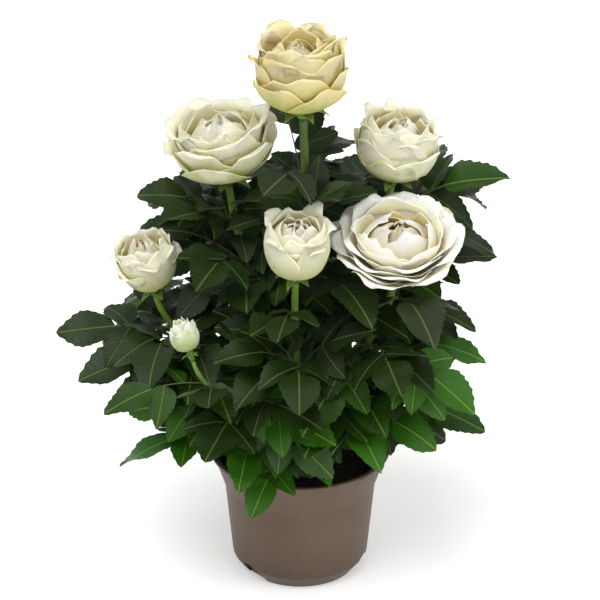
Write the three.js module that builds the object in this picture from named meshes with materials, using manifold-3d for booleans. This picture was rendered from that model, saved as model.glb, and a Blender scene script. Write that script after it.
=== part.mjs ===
// A potted patio rose: six double blooms and a bud on green canes, with leafy side shoots, in a 13 cm
// plastic pot.
// Millimetres, +Z up. The origin is the middle of the pot's flat underside, and -Y is the plant's show side.
import * as THREE from "three";
import { mergeVertices } from "three/addons/utils/BufferGeometryUtils.js";
import Module from "manifold-3d";

const wasm = await Module();
wasm.setup();

// ---------------------------------------------------------------- driving dimensions
const GAP = 0.3; // air left between two pieces that touch on the real plant
const UP = new THREE.Vector3(0, 0, 1);

const POT = {
  height: 94,
  rimRadius: 65,
  collarRadius: 55, // outside, where the flared collar meets the wall
  collarHeight: 69,
  chamferRadius: 49,
  chamferHeight: 11,
  footRadius: 40.5,
  wall: 1.6,
  lipOut: 1.4, // how far the lip stands out from the collar
  lipTall: 2.4,
  floor: 2,
  channelDepth: 2.2, // the drain channel pressed up into the underside
  channelInner: 24,
  channelOuter: 34,
  sides: 32,
};
// The arched pockets pressed into the foot, which let water out from under the pot: how wide and high each
// arch is, how far from the pot's axis it ends inside, and how far out its cutter reaches.
const NOTCH = { count: 3, first: -140, width: 21, height: 14, inner: 38, outer: 56, sides: 10 };
const DRAIN = { count: 5, radius: 3.5, sides: 6 };
const SOIL = { top: 84, edgeDrop: 3, flatRadius: 32, clearance: 0.5 };

// Each cane: foot on the soil (x, y), where its flower sits (x, y, z), the flower's lean from upright
// (degrees) towards a heading (degrees from +X), and the cane's radii at the soil and under the flower.
const CANES = [
  { name: "top", foot: [3, 6], head: [2, 5, 345], lean: 3, heading: 200, thick: 4.2, thin: 2.7 },
  { name: "left", foot: [-11, 10], head: [-50, 20, 289], lean: 8, heading: 200, thick: 4, thin: 2.6 },
  { name: "right", foot: [13, 9], head: [64, 25, 287], lean: 8, heading: 330, thick: 4, thin: 2.6 },
  { name: "open", foot: [14, -7], head: [66, -24, 242], lean: 17, heading: 275, thick: 3.9, thin: 2.6 },
  { name: "centre", foot: [0, -12], head: [-3, -47, 245], lean: 12, heading: 280, thick: 3.6, thin: 2.3 },
  { name: "side", foot: [-17, -3], head: [-101, -8, 217], lean: 14, heading: 215, thick: 3.5, thin: 2 },
  { name: "bud", foot: [-10, -14], head: [-73, -76, 199], lean: 20, heading: 150, thick: 2.8, thin: 1.4 },
];
const CANE_STEPS = 7;
const CANE_SIDES = 6;
const ROOT_FLARE = 0.25; // how much thicker a cane is right at the soil

// Each flower: its radius and height, how far the outer petals open (0 a tight cup, 1 flat), how deep the
// petals' outline is notched between them, the turn of its first petal (degrees), and facets to a petal.
const BLOOMS = {
  top: { radius: 37.5, height: 57, open: 0.1, notch: 0.16, turn: 20, fine: 4 },
  left: { radius: 41.5, height: 47, open: 0.5, notch: 0.26, turn: 52, fine: 4 },
  right: { radius: 34, height: 48, open: 0.1, notch: 0.14, turn: 0, fine: 4 },
  open: { radius: 48, height: 38, open: 1, notch: 0.16, turn: 35, fine: 4 },
  centre: { radius: 26, height: 44, open: 0, notch: 0.18, turn: 10, fine: 3 },
  side: { radius: 26, height: 39, open: 0.3, notch: 0.22, turn: 60, fine: 3 },
  bud: { radius: 11, height: 23, open: 0, notch: 0.2, turn: 15, fine: 2 },
};
const PETALS = 5; // in each of a flower's three whorls
const HIP = { height: 8, waist: 1.15, shoulder: 1.9, sides: 6 }; // under a flower, widths in cane radii
const SEPAL = { count: 5, longest: 26, reach: 0.75, width: 0.32, climb: 0.1 };

// Each leafy side shoot: the cane it leaves, how far up that cane (0 to 1), the point that the tip of its end
// leaf reaches, the number of its compound leaves, their size, and the seed of its leaves' headings.
const SHOOTS = [
  { name: "crest", cane: "top", at: 0.74, tip: [-14, 68, 328], leaves: 4, size: 0.72, seed: 1 },
  { name: "crest_front", cane: "top", at: 0.66, tip: [20, -44, 303], leaves: 4, size: 0.66, seed: 315 },
  { name: "left_top", cane: "left", at: 0.83, tip: [-100, 2, 285], leaves: 4, size: 0.7, seed: 460 },
  { name: "left_high", cane: "left", at: 0.62, tip: [-112, 23, 246], leaves: 4, size: 0.86, seed: 4 },
  { name: "left_back", cane: "left", at: 0.37, tip: [-79, 113, 253], leaves: 4, size: 0.86, seed: 5 },
  { name: "right_top", cane: "right", at: 0.83, tip: [128, 9, 293], leaves: 4, size: 0.92, seed: 95 },
  { name: "right_high", cane: "right", at: 0.56, tip: [136, 42, 220], leaves: 4, size: 0.86, seed: 34 },
  { name: "right_back", cane: "right", at: 0.48, tip: [63, 123, 270], leaves: 4, size: 0.92, seed: 8 },
  { name: "right_mid", cane: "open", at: 0.47, tip: [127, -20, 176], leaves: 4, size: 0.81, seed: 9 },
  { name: "right_low", cane: "open", at: 0.28, tip: [132, -40, 121], leaves: 4, size: 0.84, seed: 799 },
  { name: "rim_right", cane: "open", at: 0.18, tip: [91, -65, 127], leaves: 4, size: 0.72, seed: 817 },
  { name: "front_high", cane: "left", at: 0.7, tip: [-68, -72, 248], leaves: 4, size: 0.78, seed: 573 },
  { name: "front_right", cane: "open", at: 0.57, tip: [66, -118, 191], leaves: 4, size: 0.8, seed: 609 },
  { name: "front_mid", cane: "centre", at: 0.48, tip: [0, -131, 193], leaves: 5, size: 0.8, seed: 14 },
  { name: "left_out", cane: "side", at: 0.67, tip: [-167, -14, 187], leaves: 4, size: 0.84, seed: 452 },
  { name: "left_mid", cane: "side", at: 0.42, tip: [-150, -39, 166], leaves: 4, size: 0.84, seed: 442 },
  { name: "left_low", cane: "side", at: 0.24, tip: [-129, -1, 132], leaves: 4, size: 0.84, seed: 714 },
  { name: "rim_left", cane: "bud", at: 0.2, tip: [-127, -62, 108], leaves: 2, size: 0.84, seed: 517 },
  { name: "front_left", cane: "bud", at: 0.5, tip: [-62, -132, 150], leaves: 4, size: 0.76, seed: 19 },
  { name: "front_low", cane: "centre", at: 0.11, tip: [-35, -93, 81], leaves: 4, size: 0.62, seed: 847, lowest: 76 },
  { name: "back_high", cane: "top", at: 0.44, tip: [23, 131, 224], leaves: 4, size: 0.95, seed: 171 },
  { name: "back_left", cane: "left", at: 0.19, tip: [-130, 105, 154], leaves: 4, size: 0.95, seed: 22 },
  { name: "back_right", cane: "right", at: 0.2, tip: [106, 103, 162], leaves: 4, size: 0.99, seed: 188 },
  { name: "back_low", cane: "top", at: 0.16, tip: [4, 140, 139], leaves: 4, size: 0.9, seed: 24 },
];
const SHOOT = { radius: 1.7, taper: 0.6, rise: 0.12, bare: 7, shortest: 11, sides: 4 };

// A compound leaf at size 1: a stalk with two pairs of leaflets and one at its tip.
const LEAF = {
  stalk: 60, // from the shoot to the end leaflet
  stalkRadius: 1,
  clearFoot: 0.15, // the stalk keeps clear of everything from here on, of its length
  droop: 0.22, // how far the stalk sinks at its end, of its length
  rootWidth: 0.045, // of a leaflet's root along the stalk, of the stalk's length
  fold: 0.2, // how far a leaflet's edge is lifted out of its plane, of its half width
  curl: 0.16, // how far its tip curls down, of its length
  sag: 44, // how far its tip hangs below the straight line on from its foot
  roll: 44, // degrees between the most that leaves lean to one hand and to the other
  thick: 1.8, // least depth kept free under a leaflet's face
};
const END_LEAFLET = { turn: 0, length: 50, width: 36 };
const PAIRS = [
  { at: 0.41, turn: 75, length: 29, width: 20 },
  { at: 0.76, turn: 62, length: 40, width: 27 },
];
const TRIES = 10; // headings a leaf tries before the rule skips it
const LEAST_LEAFLETS = 3;
const CLEAR = 1.2; // least air between a leaf and anything it passes
const LOWEST = 104; // no leaf hangs below this, but for those let over the pot's rim
const LIGHT = new THREE.Vector3(0, -0.45, 1); // what leaves turn their faces to, with their own way out

// ---------------------------------------------------------------- small helpers
const vec = (x, y, z) => new THREE.Vector3(x, y, z);
const rad = THREE.MathUtils.degToRad;
const compass = (degrees) => vec(Math.cos(rad(degrees)), Math.sin(rad(degrees)), 0);
const climbing = (heading, climb) =>
  compass(heading)
    .multiplyScalar(Math.cos(rad(climb)))
    .addScaledVector(UP, Math.sin(rad(climb)));

// A repeatable number from 0 to 1 for the nth choice of a seed.
function chance(seed, n) {
  const x = Math.sin(seed * 12.9898 + n * 78.233) * 43758.5453;
  return x - Math.floor(x);
}

// A closed mesh as a solid that can be cut and joined.
function solidFrom(geometry) {
  const bare = geometry.clone();
  bare.deleteAttribute("normal");
  bare.deleteAttribute("uv");
  const merged = mergeVertices(bare, 1e-4);
  return new wasm.Manifold(
    new wasm.Mesh({
      numProp: 3,
      vertProperties: new Float32Array(merged.attributes.position.array),
      triVerts: new Uint32Array(merged.index.array),
    }),
  );
}

function geometryFrom(solid) {
  const mesh = solid.getMesh();
  const geometry = new THREE.BufferGeometry();
  geometry.setAttribute("position", new THREE.BufferAttribute(mesh.vertProperties, 3));
  geometry.setIndex(new THREE.BufferAttribute(mesh.triVerts, 1));
  return geometry.toNonIndexed();
}

// A closed solid from points and three-cornered faces.
function solidOf(points, faces) {
  const geometry = new THREE.BufferGeometry();
  geometry.setFromPoints(points);
  geometry.setIndex(faces.flat());
  return solidFrom(geometry);
}

// A profile of [radius, height] pairs, anticlockwise in the radius-height plane, turned about +Z.
function turned(profile, sides) {
  const geometry = new THREE.LatheGeometry(
    profile.map(([r, z]) => new THREE.Vector2(r, z)),
    sides,
  );
  geometry.rotateX(Math.PI / 2);
  return solidFrom(geometry);
}

// Rings of points, all of one count, skinned from first to last and closed at a point in each end.
function skinned(rings, start, end) {
  const sides = rings[0].length;
  const last = (rings.length - 1) * sides;
  const points = [...rings.flat(), start, end];
  const [first, final] = [points.length - 2, points.length - 1];
  const faces = [];
  for (let k = 0; k < sides; k++) {
    const next = (k + 1) % sides;
    faces.push([first, next, k], [final, last + k, last + next]);
    for (let i = 0; i < last; i += sides) {
      faces.push([i + k, i + next, i + sides + next], [i + k, i + sides + next, i + sides + k]);
    }
  }
  return solidOf(points, faces);
}

// A tapering limb: rings carried along a line of centres. Its foot is level when footLevel is set.
function limb(centres, radii, sides, footLevel = false) {
  const last = centres.length - 1;
  let side = vec(1, 0, 0);
  const rings = centres.map((centre, i) => {
    const along = centres[Math.min(i + 1, last)].clone().sub(centres[Math.max(i - 1, 0)]).normalize();
    const normal = i === 0 && footLevel ? UP : along;
    side = side.clone().addScaledVector(normal, -side.dot(normal)).normalize();
    const other = normal.clone().cross(side);
    return Array.from({ length: sides }, (_, k) => {
      const turn = (2 * Math.PI * k) / sides;
      return centre
        .clone()
        .addScaledVector(side, radii[i] * Math.cos(turn))
        .addScaledVector(other, radii[i] * Math.sin(turn));
    });
  });
  return skinned(rings, centres[0], centres[last]);
}

// ---------------------------------------------------------------- pot and soil
// The pot's outside radius at a height, in straight runs over foot, chamfer, wall and flared collar.
function potRadius(z) {
  const runs = [
    [0, POT.footRadius],
    [POT.chamferHeight, POT.chamferRadius],
    [POT.collarHeight, POT.collarRadius],
    [POT.height, POT.rimRadius - POT.lipOut],
  ];
  const i = runs.findIndex(([top], n) => n > 0 && z <= top);
  return THREE.MathUtils.mapLinear(z, runs[i - 1][0], runs[i][0], runs[i - 1][1], runs[i][1]);
}

// The space of every arched pocket as round bars lying outwards, with some depth added all round.
function makePockets(extra) {
  const radius = NOTCH.width / 2 + extra;
  const inner = NOTCH.inner - extra;
  const bars = Array.from({ length: NOTCH.count }, (_, i) => {
    const bar = new THREE.CylinderGeometry(radius, radius, NOTCH.outer - inner, NOTCH.sides);
    bar.rotateZ(Math.PI / 2);
    bar.translate((NOTCH.outer + inner) / 2, 0, NOTCH.height - NOTCH.width / 2);
    bar.rotateZ(rad(NOTCH.first + (360 / NOTCH.count) * i));
    return solidFrom(bar);
  });
  return bars.reduce((all, bar) => all.add(bar));
}

function makePot() {
  const { wall, height, channelDepth, channelInner, channelOuter, chamferHeight, collarHeight } = POT;
  const floorTop = channelDepth + POT.floor;
  const slope = 2; // the channel's sides lean by this much
  const shell = turned(
    [
      [0, 0],
      [channelInner, 0],
      [channelInner + slope, channelDepth],
      [channelOuter - slope, channelDepth],
      [channelOuter, 0],
      [POT.footRadius, 0],
      [POT.chamferRadius, chamferHeight],
      [POT.collarRadius, collarHeight],
      [potRadius(height - POT.lipTall), height - POT.lipTall],
      [POT.rimRadius, height - POT.lipTall],
      [POT.rimRadius, height],
      [potRadius(height) - wall, height],
      [POT.collarRadius - wall, collarHeight],
      [POT.chamferRadius - wall, chamferHeight],
      [potRadius(floorTop) - wall, floorTop],
      [0, floorTop],
    ],
    POT.sides,
  );
  const withinWall = [floorTop / 2, chamferHeight, collarHeight].map((z) => [potRadius(z) - wall / 2, z]);
  const filled = turned([[0, floorTop / 2], ...withinWall, [0, collarHeight]], POT.sides);
  const pocketWalls = makePockets(wall).intersect(filled);
  let pot = shell.add(pocketWalls).subtract(makePockets(0));
  for (let i = 0; i < DRAIN.count; i++) {
    const cut = new THREE.CylinderGeometry(DRAIN.radius, DRAIN.radius, 4 * floorTop, DRAIN.sides);
    cut.rotateX(Math.PI / 2);
    cut.translate((channelInner + channelOuter) / 2, 0, 0);
    cut.rotateZ(rad((360 / DRAIN.count) * i));
    pot = pot.subtract(solidFrom(cut));
  }
  return pot;
}

function makeSoil() {
  const inside = (z) => potRadius(z) - POT.wall - SOIL.clearance;
  const base = POT.channelDepth + POT.floor + SOIL.clearance;
  const edge = SOIL.top - SOIL.edgeDrop;
  const fill = turned(
    [
      [0, base],
      [inside(base), base],
      [inside(POT.chamferHeight), POT.chamferHeight],
      [inside(POT.collarHeight), POT.collarHeight],
      [inside(edge), edge],
      [SOIL.flatRadius, SOIL.top],
      [0, SOIL.top],
    ],
    POT.sides,
  );
  return fill.subtract(makePockets(POT.wall + SOIL.clearance));
}

// ---------------------------------------------------------------- canes
// A flower's axis, leaned from upright towards its heading.
const axisOf = (cane) => climbing(cane.heading, 90 - cane.lean);

// The cane's line: it leaves the soil upright and comes to the flower along the flower's axis.
function caneLine(cane) {
  const foot = vec(...cane.foot, SOIL.top + GAP);
  const head = vec(...cane.head);
  const rise = head.z - foot.z;
  return new THREE.CubicBezierCurve3(
    foot,
    foot.clone().addScaledVector(UP, rise * 0.4),
    head.clone().addScaledVector(axisOf(cane), -rise * 0.35),
    head,
  );
}

function caneRadius(cane, t) {
  const flare = 1 + ROOT_FLARE * Math.max(0, 1 - 9 * t);
  return THREE.MathUtils.lerp(cane.thick, cane.thin, t) * flare;
}

// The whole cane, or the cane with some air round it, which a shoot's foot is cut to.
function makeCane(cane, air = 0) {
  const line = caneLine(cane);
  const steps = Array.from({ length: CANE_STEPS + 1 }, (_, i) => i / CANE_STEPS);
  return limb(
    steps.map((t) => line.getPoint(t)),
    steps.map((t) => caneRadius(cane, t) + air),
    CANE_SIDES,
    true,
  );
}

// ---------------------------------------------------------------- blooms
// A frame with its z along the flower's axis, at a distance above the cane's tip.
function flowerFrame(cane, above) {
  const turn = new THREE.Quaternion().setFromUnitVectors(UP, axisOf(cane));
  const frame = new THREE.Matrix4().makeRotationFromQuaternion(turn);
  return frame.setPosition(vec(...cane.head).addScaledVector(axisOf(cane), above));
}

// A flower is one folded wall: out from the base, over the rim of each of three nested whorls of petals and
// down into the cleft behind it, to the heart. Each row is [radius, height, notch, whorl] in shares of the
// flower's own: the wall's radius and height dip between the petals of its whorl.
function bloomRows(open) {
  const mix = (closed, flat) => THREE.MathUtils.lerp(closed, flat, open);
  return [
    [0.15, 0, 0, 0],
    [mix(0.66, 0.6), mix(0.14, 0.1), 0.1, 0],
    [mix(1, 0.88), mix(0.44, 0.24), 0.4, 0],
    [mix(0.97, 1), mix(0.72, 0.4), 1, 0],
    [mix(0.9, 0.95), mix(0.71, 0.46), 1, 0],
    [mix(0.76, 0.6), mix(0.46, 0.36), 0.2, 1],
    [mix(0.84, 0.72), mix(0.92, 0.74), 1, 1],
    [mix(0.76, 0.66), mix(0.91, 0.76), 1, 1],
    [mix(0.52, 0.42), mix(0.62, 0.5), 0.2, 2],
    [mix(0.5, 0.44), 1, 0.7, 2],
    [mix(0.42, 0.36), 0.98, 0.7, 2],
    [0.2, mix(0.76, 0.62), 0, 2],
  ];
}

function makeBloom(cane) {
  const { radius, height, open, notch, turn, fine } = BLOOMS[cane.name];
  const sides = PETALS * fine;
  const stagger = 180 / PETALS; // each whorl's petals stand behind the clefts of the one outside it
  const rows = bloomRows(open);
  const rings = rows.map(([r, z, share, whorl]) =>
    Array.from({ length: sides }, (_, k) => {
      const angle = (360 * k) / sides;
      const wave = Math.abs(Math.sin((rad(angle + whorl * stagger) * PETALS) / 2));
      const dip = notch * share * (1 - wave);
      return compass(turn + angle)
        .multiplyScalar(radius * r * (1 - 0.5 * dip))
        .addScaledVector(UP, height * z * (1 - dip));
    }),
  );
  const heart = UP.clone().multiplyScalar(height * rows.at(-1)[1]);
  const flower = skinned(rings, vec(0, 0, 0), heart);
  return flower.transform(flowerFrame(cane, GAP + HIP.height + GAP).toArray());
}

// The five sepals that spread from a hip's shoulder under the petals, as leaflets on short stalks.
function sepalsOf(cane) {
  const { radius, turn } = BLOOMS[cane.name];
  const frame = flowerFrame(cane, GAP);
  const facing = axisOf(cane);
  const length = Math.min(SEPAL.longest, radius * SEPAL.reach);
  return Array.from({ length: SEPAL.count }, (_, i) => {
    const out = compass(turn + (360 / SEPAL.count) * i);
    const inner = out.clone().multiplyScalar(cane.thin * 0.5).setZ(HIP.height * 0.6).applyMatrix4(frame);
    const ahead = out.clone().setZ(SEPAL.climb).normalize().transformDirection(frame);
    const root = inner.clone().addScaledVector(ahead, cane.thin);
    return {
      sections: [section(inner, ahead, facing), section(root, ahead, facing)],
      leaflets: [{ ...blade(root, ahead, facing, length, length * SEPAL.width, 0), place: 1, side: 0 }],
    };
  });
}

function makeCalyx(cane, sepals) {
  const shoulder = cane.thin * HIP.shoulder;
  const hip = turned(
    [
      [0, 0],
      [cane.thin * HIP.waist, 0],
      [shoulder, HIP.height * 0.55],
      [shoulder * 0.9, HIP.height],
      [0, HIP.height],
    ],
    HIP.sides,
  ).transform(flowerFrame(cane, GAP).toArray());
  return sepals.reduce((calyx, sepal) => calyx.add(leafSolid(sepal)), hip);
}

// ---------------------------------------------------------------- leaves
// A leaflet's face: its root, the five corners of its outline from the right edge over the tip to the left
// edge, and its middle. along runs from root to tip, and facing is the side that looks at the light.
function blade(root, along, facing, length, width, curl) {
  const normal = facing.clone().addScaledVector(along, -facing.dot(along)).normalize();
  const side = along.clone().cross(normal);
  const at = (share, aside, lift) =>
    root
      .clone()
      .addScaledVector(along, share * length)
      .addScaledVector(side, (aside * width) / 2)
      .addScaledVector(normal, (lift * width) / 2 - curl * length * share * share);
  const { fold } = LEAF;
  const rim = [
    at(0.26, 0.88, fold),
    at(0.62, 0.82, fold),
    at(1, 0, 0),
    at(0.62, -0.82, fold),
    at(0.26, -0.88, fold),
  ];
  return { root, rim, middle: at(0.45, 0, 0), normal };
}

// A stalk's three-cornered section, for a stalk that runs ahead and faces the light.
function section(centre, ahead, facing) {
  const normal = facing.clone().addScaledVector(ahead, -facing.dot(ahead)).normalize();
  const side = ahead.clone().cross(normal);
  const at = (aside, lift) =>
    centre
      .clone()
      .addScaledVector(side, aside * LEAF.stalkRadius)
      .addScaledVector(normal, lift * LEAF.stalkRadius);
  return { right: at(1, 0.5), left: at(-1, 0.5), keel: at(0, -1) };
}

// A compound leaf as one closed body. Each leaflet grows out of the stalk's right (side 1) or left (side -1)
// between the sections place - 1 and place, or out of the stalk's end (side 0).
function leafSolid({ sections, leaflets }) {
  const points = [];
  const faces = [];
  const put = (point) => points.push(point) - 1;
  const quad = (a, b, c, d) => faces.push([a, b, c], [a, c, d]);
  const stalk = sections.map(({ right, left, keel }) => ({
    right: put(right),
    left: put(left),
    keel: put(keel),
  }));
  const grow = ({ rim, middle }, topA, keelA, topB, keelB) => {
    const [a1, a2, tip, b2, b1] = rim.map(put);
    const heart = put(middle);
    const loop = [topA, a1, a2, tip, b2, b1, topB];
    loop.forEach((corner, i) => faces.push([corner, loop[(i + 1) % loop.length], heart]));
    faces.push([keelA, a2, a1], [keelA, tip, a2], [keelB, b2, tip], [keelB, b1, b2]);
    faces.push([topA, keelA, a1], [keelB, topB, b1]);
    if (keelA !== keelB) faces.push([keelA, keelB, tip]);
  };
  const find = (place, side) => leaflets.find((leaflet) => leaflet.place === place && leaflet.side === side);
  for (let i = 1; i < stalk.length; i++) {
    const [a, b] = [stalk[i - 1], stalk[i]];
    const [right, left] = [find(i, 1), find(i, -1)];
    quad(a.left, a.right, b.right, b.left);
    if (right) grow(right, a.right, a.keel, b.right, b.keel);
    else quad(a.right, a.keel, b.keel, b.right);
    if (left) grow(left, b.left, b.keel, a.left, a.keel);
    else quad(a.keel, a.left, b.left, b.keel);
  }
  const [foot, end] = [stalk[0], stalk.at(-1)];
  faces.push([foot.left, foot.keel, foot.right]);
  grow(find(stalk.length - 1, 0), end.right, end.keel, end.left, end.keel);
  return solidOf(points, faces);
}

// ---------------------------------------------------------------- room for leaves
// What a leaflet or a stalk takes up, for the test of room: faces, edges, points and the ball round them.
function takenBy(points, faces, edges) {
  const centre = points.reduce((sum, p) => sum.add(p), vec(0, 0, 0)).divideScalar(points.length);
  return { points, faces, edges, centre, reach: Math.max(...points.map((p) => p.distanceTo(centre))) };
}

function roomOfBlade({ root, rim, middle, normal }) {
  const loop = [root, ...rim];
  const low = (p, share) => p.clone().addScaledVector(normal, -LEAF.thick * share);
  const points = [middle, low(middle, 1)];
  const faces = [];
  const edges = [];
  loop.forEach((a, i) => {
    const b = loop[(i + 1) % loop.length];
    points.push(a, a.clone().lerp(b, 1 / 3), a.clone().lerp(b, 2 / 3), a.clone().lerp(middle, 0.5));
    faces.push([a, b, middle], [b, a, low(middle, 1)]);
    edges.push([a, b], [a, middle], [a, low(middle, 1)]);
  });
  return takenBy(points, faces, edges);
}

function roomOfLine(line) {
  const points = [line[0]];
  const edges = line.slice(1).map((end, i) => {
    for (const share of [0.25, 0.5, 0.75, 1]) points.push(line[i].clone().lerp(end, share));
    return [line[i], end];
  });
  return takenBy(points, [], edges);
}

// Whether the edge from p to q goes through a face.
function pierces([p, q], [a, b, c]) {
  const way = q.clone().sub(p);
  const [ab, ac, ap] = [b.clone().sub(a), c.clone().sub(a), p.clone().sub(a)];
  const h = way.clone().cross(ac);
  const det = ab.dot(h);
  if (Math.abs(det) < 1e-9) return false;
  const u = ap.dot(h) / det;
  const k = ap.cross(ab);
  const v = way.dot(k) / det;
  const t = ac.dot(k) / det;
  return u >= 0 && v >= 0 && u + v <= 1 && t >= 0 && t <= 1;
}

// Whether a point lies over or under a face and nearer to it than CLEAR.
function brushes(p, [a, b, c]) {
  const [ab, ac, ap] = [b.clone().sub(a), c.clone().sub(a), p.clone().sub(a)];
  const normal = ab.clone().cross(ac);
  const area = normal.length();
  if (Math.abs(ap.dot(normal)) > CLEAR * area) return false;
  const u = ap.clone().cross(ac).dot(normal) / (area * area);
  const v = ab.clone().cross(ap).dot(normal) / (area * area);
  return u >= 0 && v >= 0 && u + v <= 1;
}

const meets = (one, other) =>
  one.edges.some((edge) => other.faces.some((face) => pierces(edge, face))) ||
  one.points.some((point) => other.faces.some((face) => brushes(point, face)));

// Whether a point lies in, or too near, the pot, the soil, a cane or a flower.
function blocked(p, canes) {
  const out = Math.hypot(p.x, p.y);
  const overSoil = p.z < SOIL.top + 3 && out < POT.rimRadius + 3;
  const atWall = p.z < POT.height + 3 && out > POT.collarRadius - 6 && out < POT.rimRadius + 3;
  if (overSoil || atWall) return true;
  return canes.some(({ name, head, axis, marks }) => {
    if (marks.some(({ point, radius }) => p.distanceTo(point) < radius + CLEAR)) return true;
    const { radius, height } = BLOOMS[name];
    const rel = p.clone().sub(vec(...head));
    const rise = rel.dot(axis);
    const wide = Math.sqrt(Math.max(0, rel.lengthSq() - rise * rise));
    const middle = HIP.height + height / 2;
    return ((rise - middle) / (height / 2 + 6)) ** 2 + (wide / (radius + 3)) ** 2 < 1;
  });
}

function fits(room, lowest, taken, canes) {
  if (room.points.some(({ z }) => z < lowest)) return false;
  const near = taken.filter((other) => other.centre.distanceTo(room.centre) < other.reach + room.reach);
  if (near.some((other) => meets(room, other) || meets(other, room))) return false;
  return !room.points.some((point) => blocked(point, canes));
}

// ---------------------------------------------------------------- foliage
// A shoot's course: off its cane towards the point that its tip is to reach, and how its line bends up.
function course(shoot) {
  const foot = caneLine(CANES.find(({ name }) => name === shoot.cane)).getPoint(shoot.at);
  const reach = vec(...shoot.tip).sub(foot);
  const flat = Math.hypot(reach.x, reach.y);
  const rise = reach.z + LEAF.sag * shoot.size;
  const leaf = (LEAF.stalk + END_LEAFLET.length) * shoot.size;
  const length = Math.max(SHOOT.shortest, Math.hypot(flat, rise) - leaf);
  const heading = THREE.MathUtils.radToDeg(Math.atan2(reach.y, reach.x));
  const climb = THREE.MathUtils.radToDeg(Math.atan2(rise, flat));
  const way = climbing(heading, climb);
  const line = (t) =>
    foot
      .clone()
      .addScaledVector(way, length * t)
      .addScaledVector(UP, SHOOT.rise * length * t * t);
  return { line, length, heading, climb };
}

// A compound leaf with its stalk's foot at a point, at a heading and climb, rolled about its stalk by some
// degrees, and with all its leaflets.
function leafAt(foot, heading, climb, size, roll) {
  const way = climbing(heading, climb);
  const length = LEAF.stalk * size;
  const stalk = (share) =>
    foot
      .clone()
      .addScaledVector(way, length * share)
      .addScaledVector(UP, -LEAF.droop * length * share * share);
  const ahead = (share) => stalk(share + 0.01).sub(stalk(share - 0.01)).normalize();
  const facing = compass(heading).multiplyScalar(0.4).add(LIGHT).normalize().applyAxisAngle(way, rad(roll));
  const shares = [0, ...PAIRS.flatMap(({ at }) => [at - LEAF.rootWidth / 2, at + LEAF.rootWidth / 2]), 1];
  const leaflet = (share, place, side, { turn, length: long, width }) => {
    const run = ahead(share);
    const normal = facing.clone().addScaledVector(run, -facing.dot(run)).normalize();
    const along = run
      .clone()
      .applyAxisAngle(normal, -side * rad(turn))
      .addScaledVector(normal, -0.1)
      .normalize();
    return { ...blade(stalk(share), along, normal, long * size, width * size, LEAF.curl), place, side };
  };
  const pairs = PAIRS.flatMap((pair, i) => [1, -1].map((side) => leaflet(pair.at, 2 * i + 2, side, pair)));
  return {
    line: [LEAF.clearFoot, ...PAIRS.map(({ at }) => at), 1].map(stalk),
    sections: shares.map((share) => section(stalk(share), ahead(share), facing)),
    leaflets: [leaflet(1, shares.length - 1, 0, END_LEAFLET), ...pairs],
  };
}

// The nth leaf of a shoot, at the first of its headings with room: leaf 0 ends the shoot, and the others
// stand down it on either hand. Leaflets without room are left off, and the leaf is kept if enough are left.
function growLeaf(shoot, n, taken, canes) {
  const { seed } = shoot;
  const { line, length, heading, climb } = course(shoot);
  const lowest = shoot.lowest ?? LOWEST;
  const foot = line(1 - (1 - SHOOT.bare / length) * (n / shoot.leaves));
  const size = shoot.size * (n === 0 ? 1 : 0.8 + 0.3 * chance(seed, 40 + n));
  for (let k = 0; k < TRIES; k++) {
    const hand = (n + k) % 2 ? 1 : -1;
    const luck = chance(seed, 100 + 12 * n + k);
    const spread = n === 0 ? hand * 9 * k : hand * (28 + 84 * luck);
    const lift = n === 0 ? 3 * hand * k : 60 * chance(seed, 300 + 12 * n + k) - 30;
    const roll = LEAF.roll * (chance(seed, 500 + 12 * n + k) - 0.5);
    const leaf = leafAt(foot, heading + spread, climb + lift, size, roll);
    const stem = roomOfLine(leaf.line);
    if (!fits(stem, SOIL.top, taken, canes)) continue;
    const rooms = leaf.leaflets.map(roomOfBlade);
    const kept = rooms.map((room) => fits(room, lowest, taken, canes));
    if (!kept[0] || kept.filter(Boolean).length < LEAST_LEAFLETS) continue;
    taken.push(stem, ...rooms.filter((_, i) => kept[i]));
    return { ...leaf, leaflets: leaf.leaflets.filter((_, i) => kept[i]) };
  }
  return null;
}

// One mass of foliage: a shoot with its leaves fused on, cut clear of its cane. A leaf that would still touch
// a piece already placed is left off.
function makeFoliage(shoot, leaves, placed) {
  const cane = CANES.find(({ name }) => name === shoot.cane);
  const radii = [1, (1 + SHOOT.taper) / 2, SHOOT.taper].map((share) => share * SHOOT.radius);
  let mass = limb([0, 0.5, 1].map(course(shoot).line), radii, SHOOT.sides);
  for (const leaf of leaves) {
    const body = leafSolid(leaf);
    const clear = placed.every((other) => other === cane.body || body.intersect(other).isEmpty());
    if (clear) mass = mass.add(body);
  }
  return mass.subtract(makeCane(cane, GAP));
}

// ---------------------------------------------------------------- the plant
const COLOURS = {
  pot: ["#7a665b", 0.55],
  soil: ["#1c1612", 0.95],
  cane: ["#4c6b2a", 0.6],
  calyx: ["#6f9440", 0.6],
  petal: ["#ece6c8", 0.6],
  leaf: ["#2f4a22", 0.5],
};

const rose = new THREE.Group();
rose.name = "potted_rose";
const placed = [];
function add(name, solid, finish) {
  const [color, roughness] = COLOURS[finish];
  const material = new THREE.MeshStandardMaterial({ color, roughness, metalness: 0 });
  const mesh = new THREE.Mesh(geometryFrom(solid), material);
  mesh.name = name;
  rose.add(mesh);
  placed.push(solid);
  return solid;
}

add("pot", makePot(), "pot");
add("soil", makeSoil(), "soil");

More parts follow.
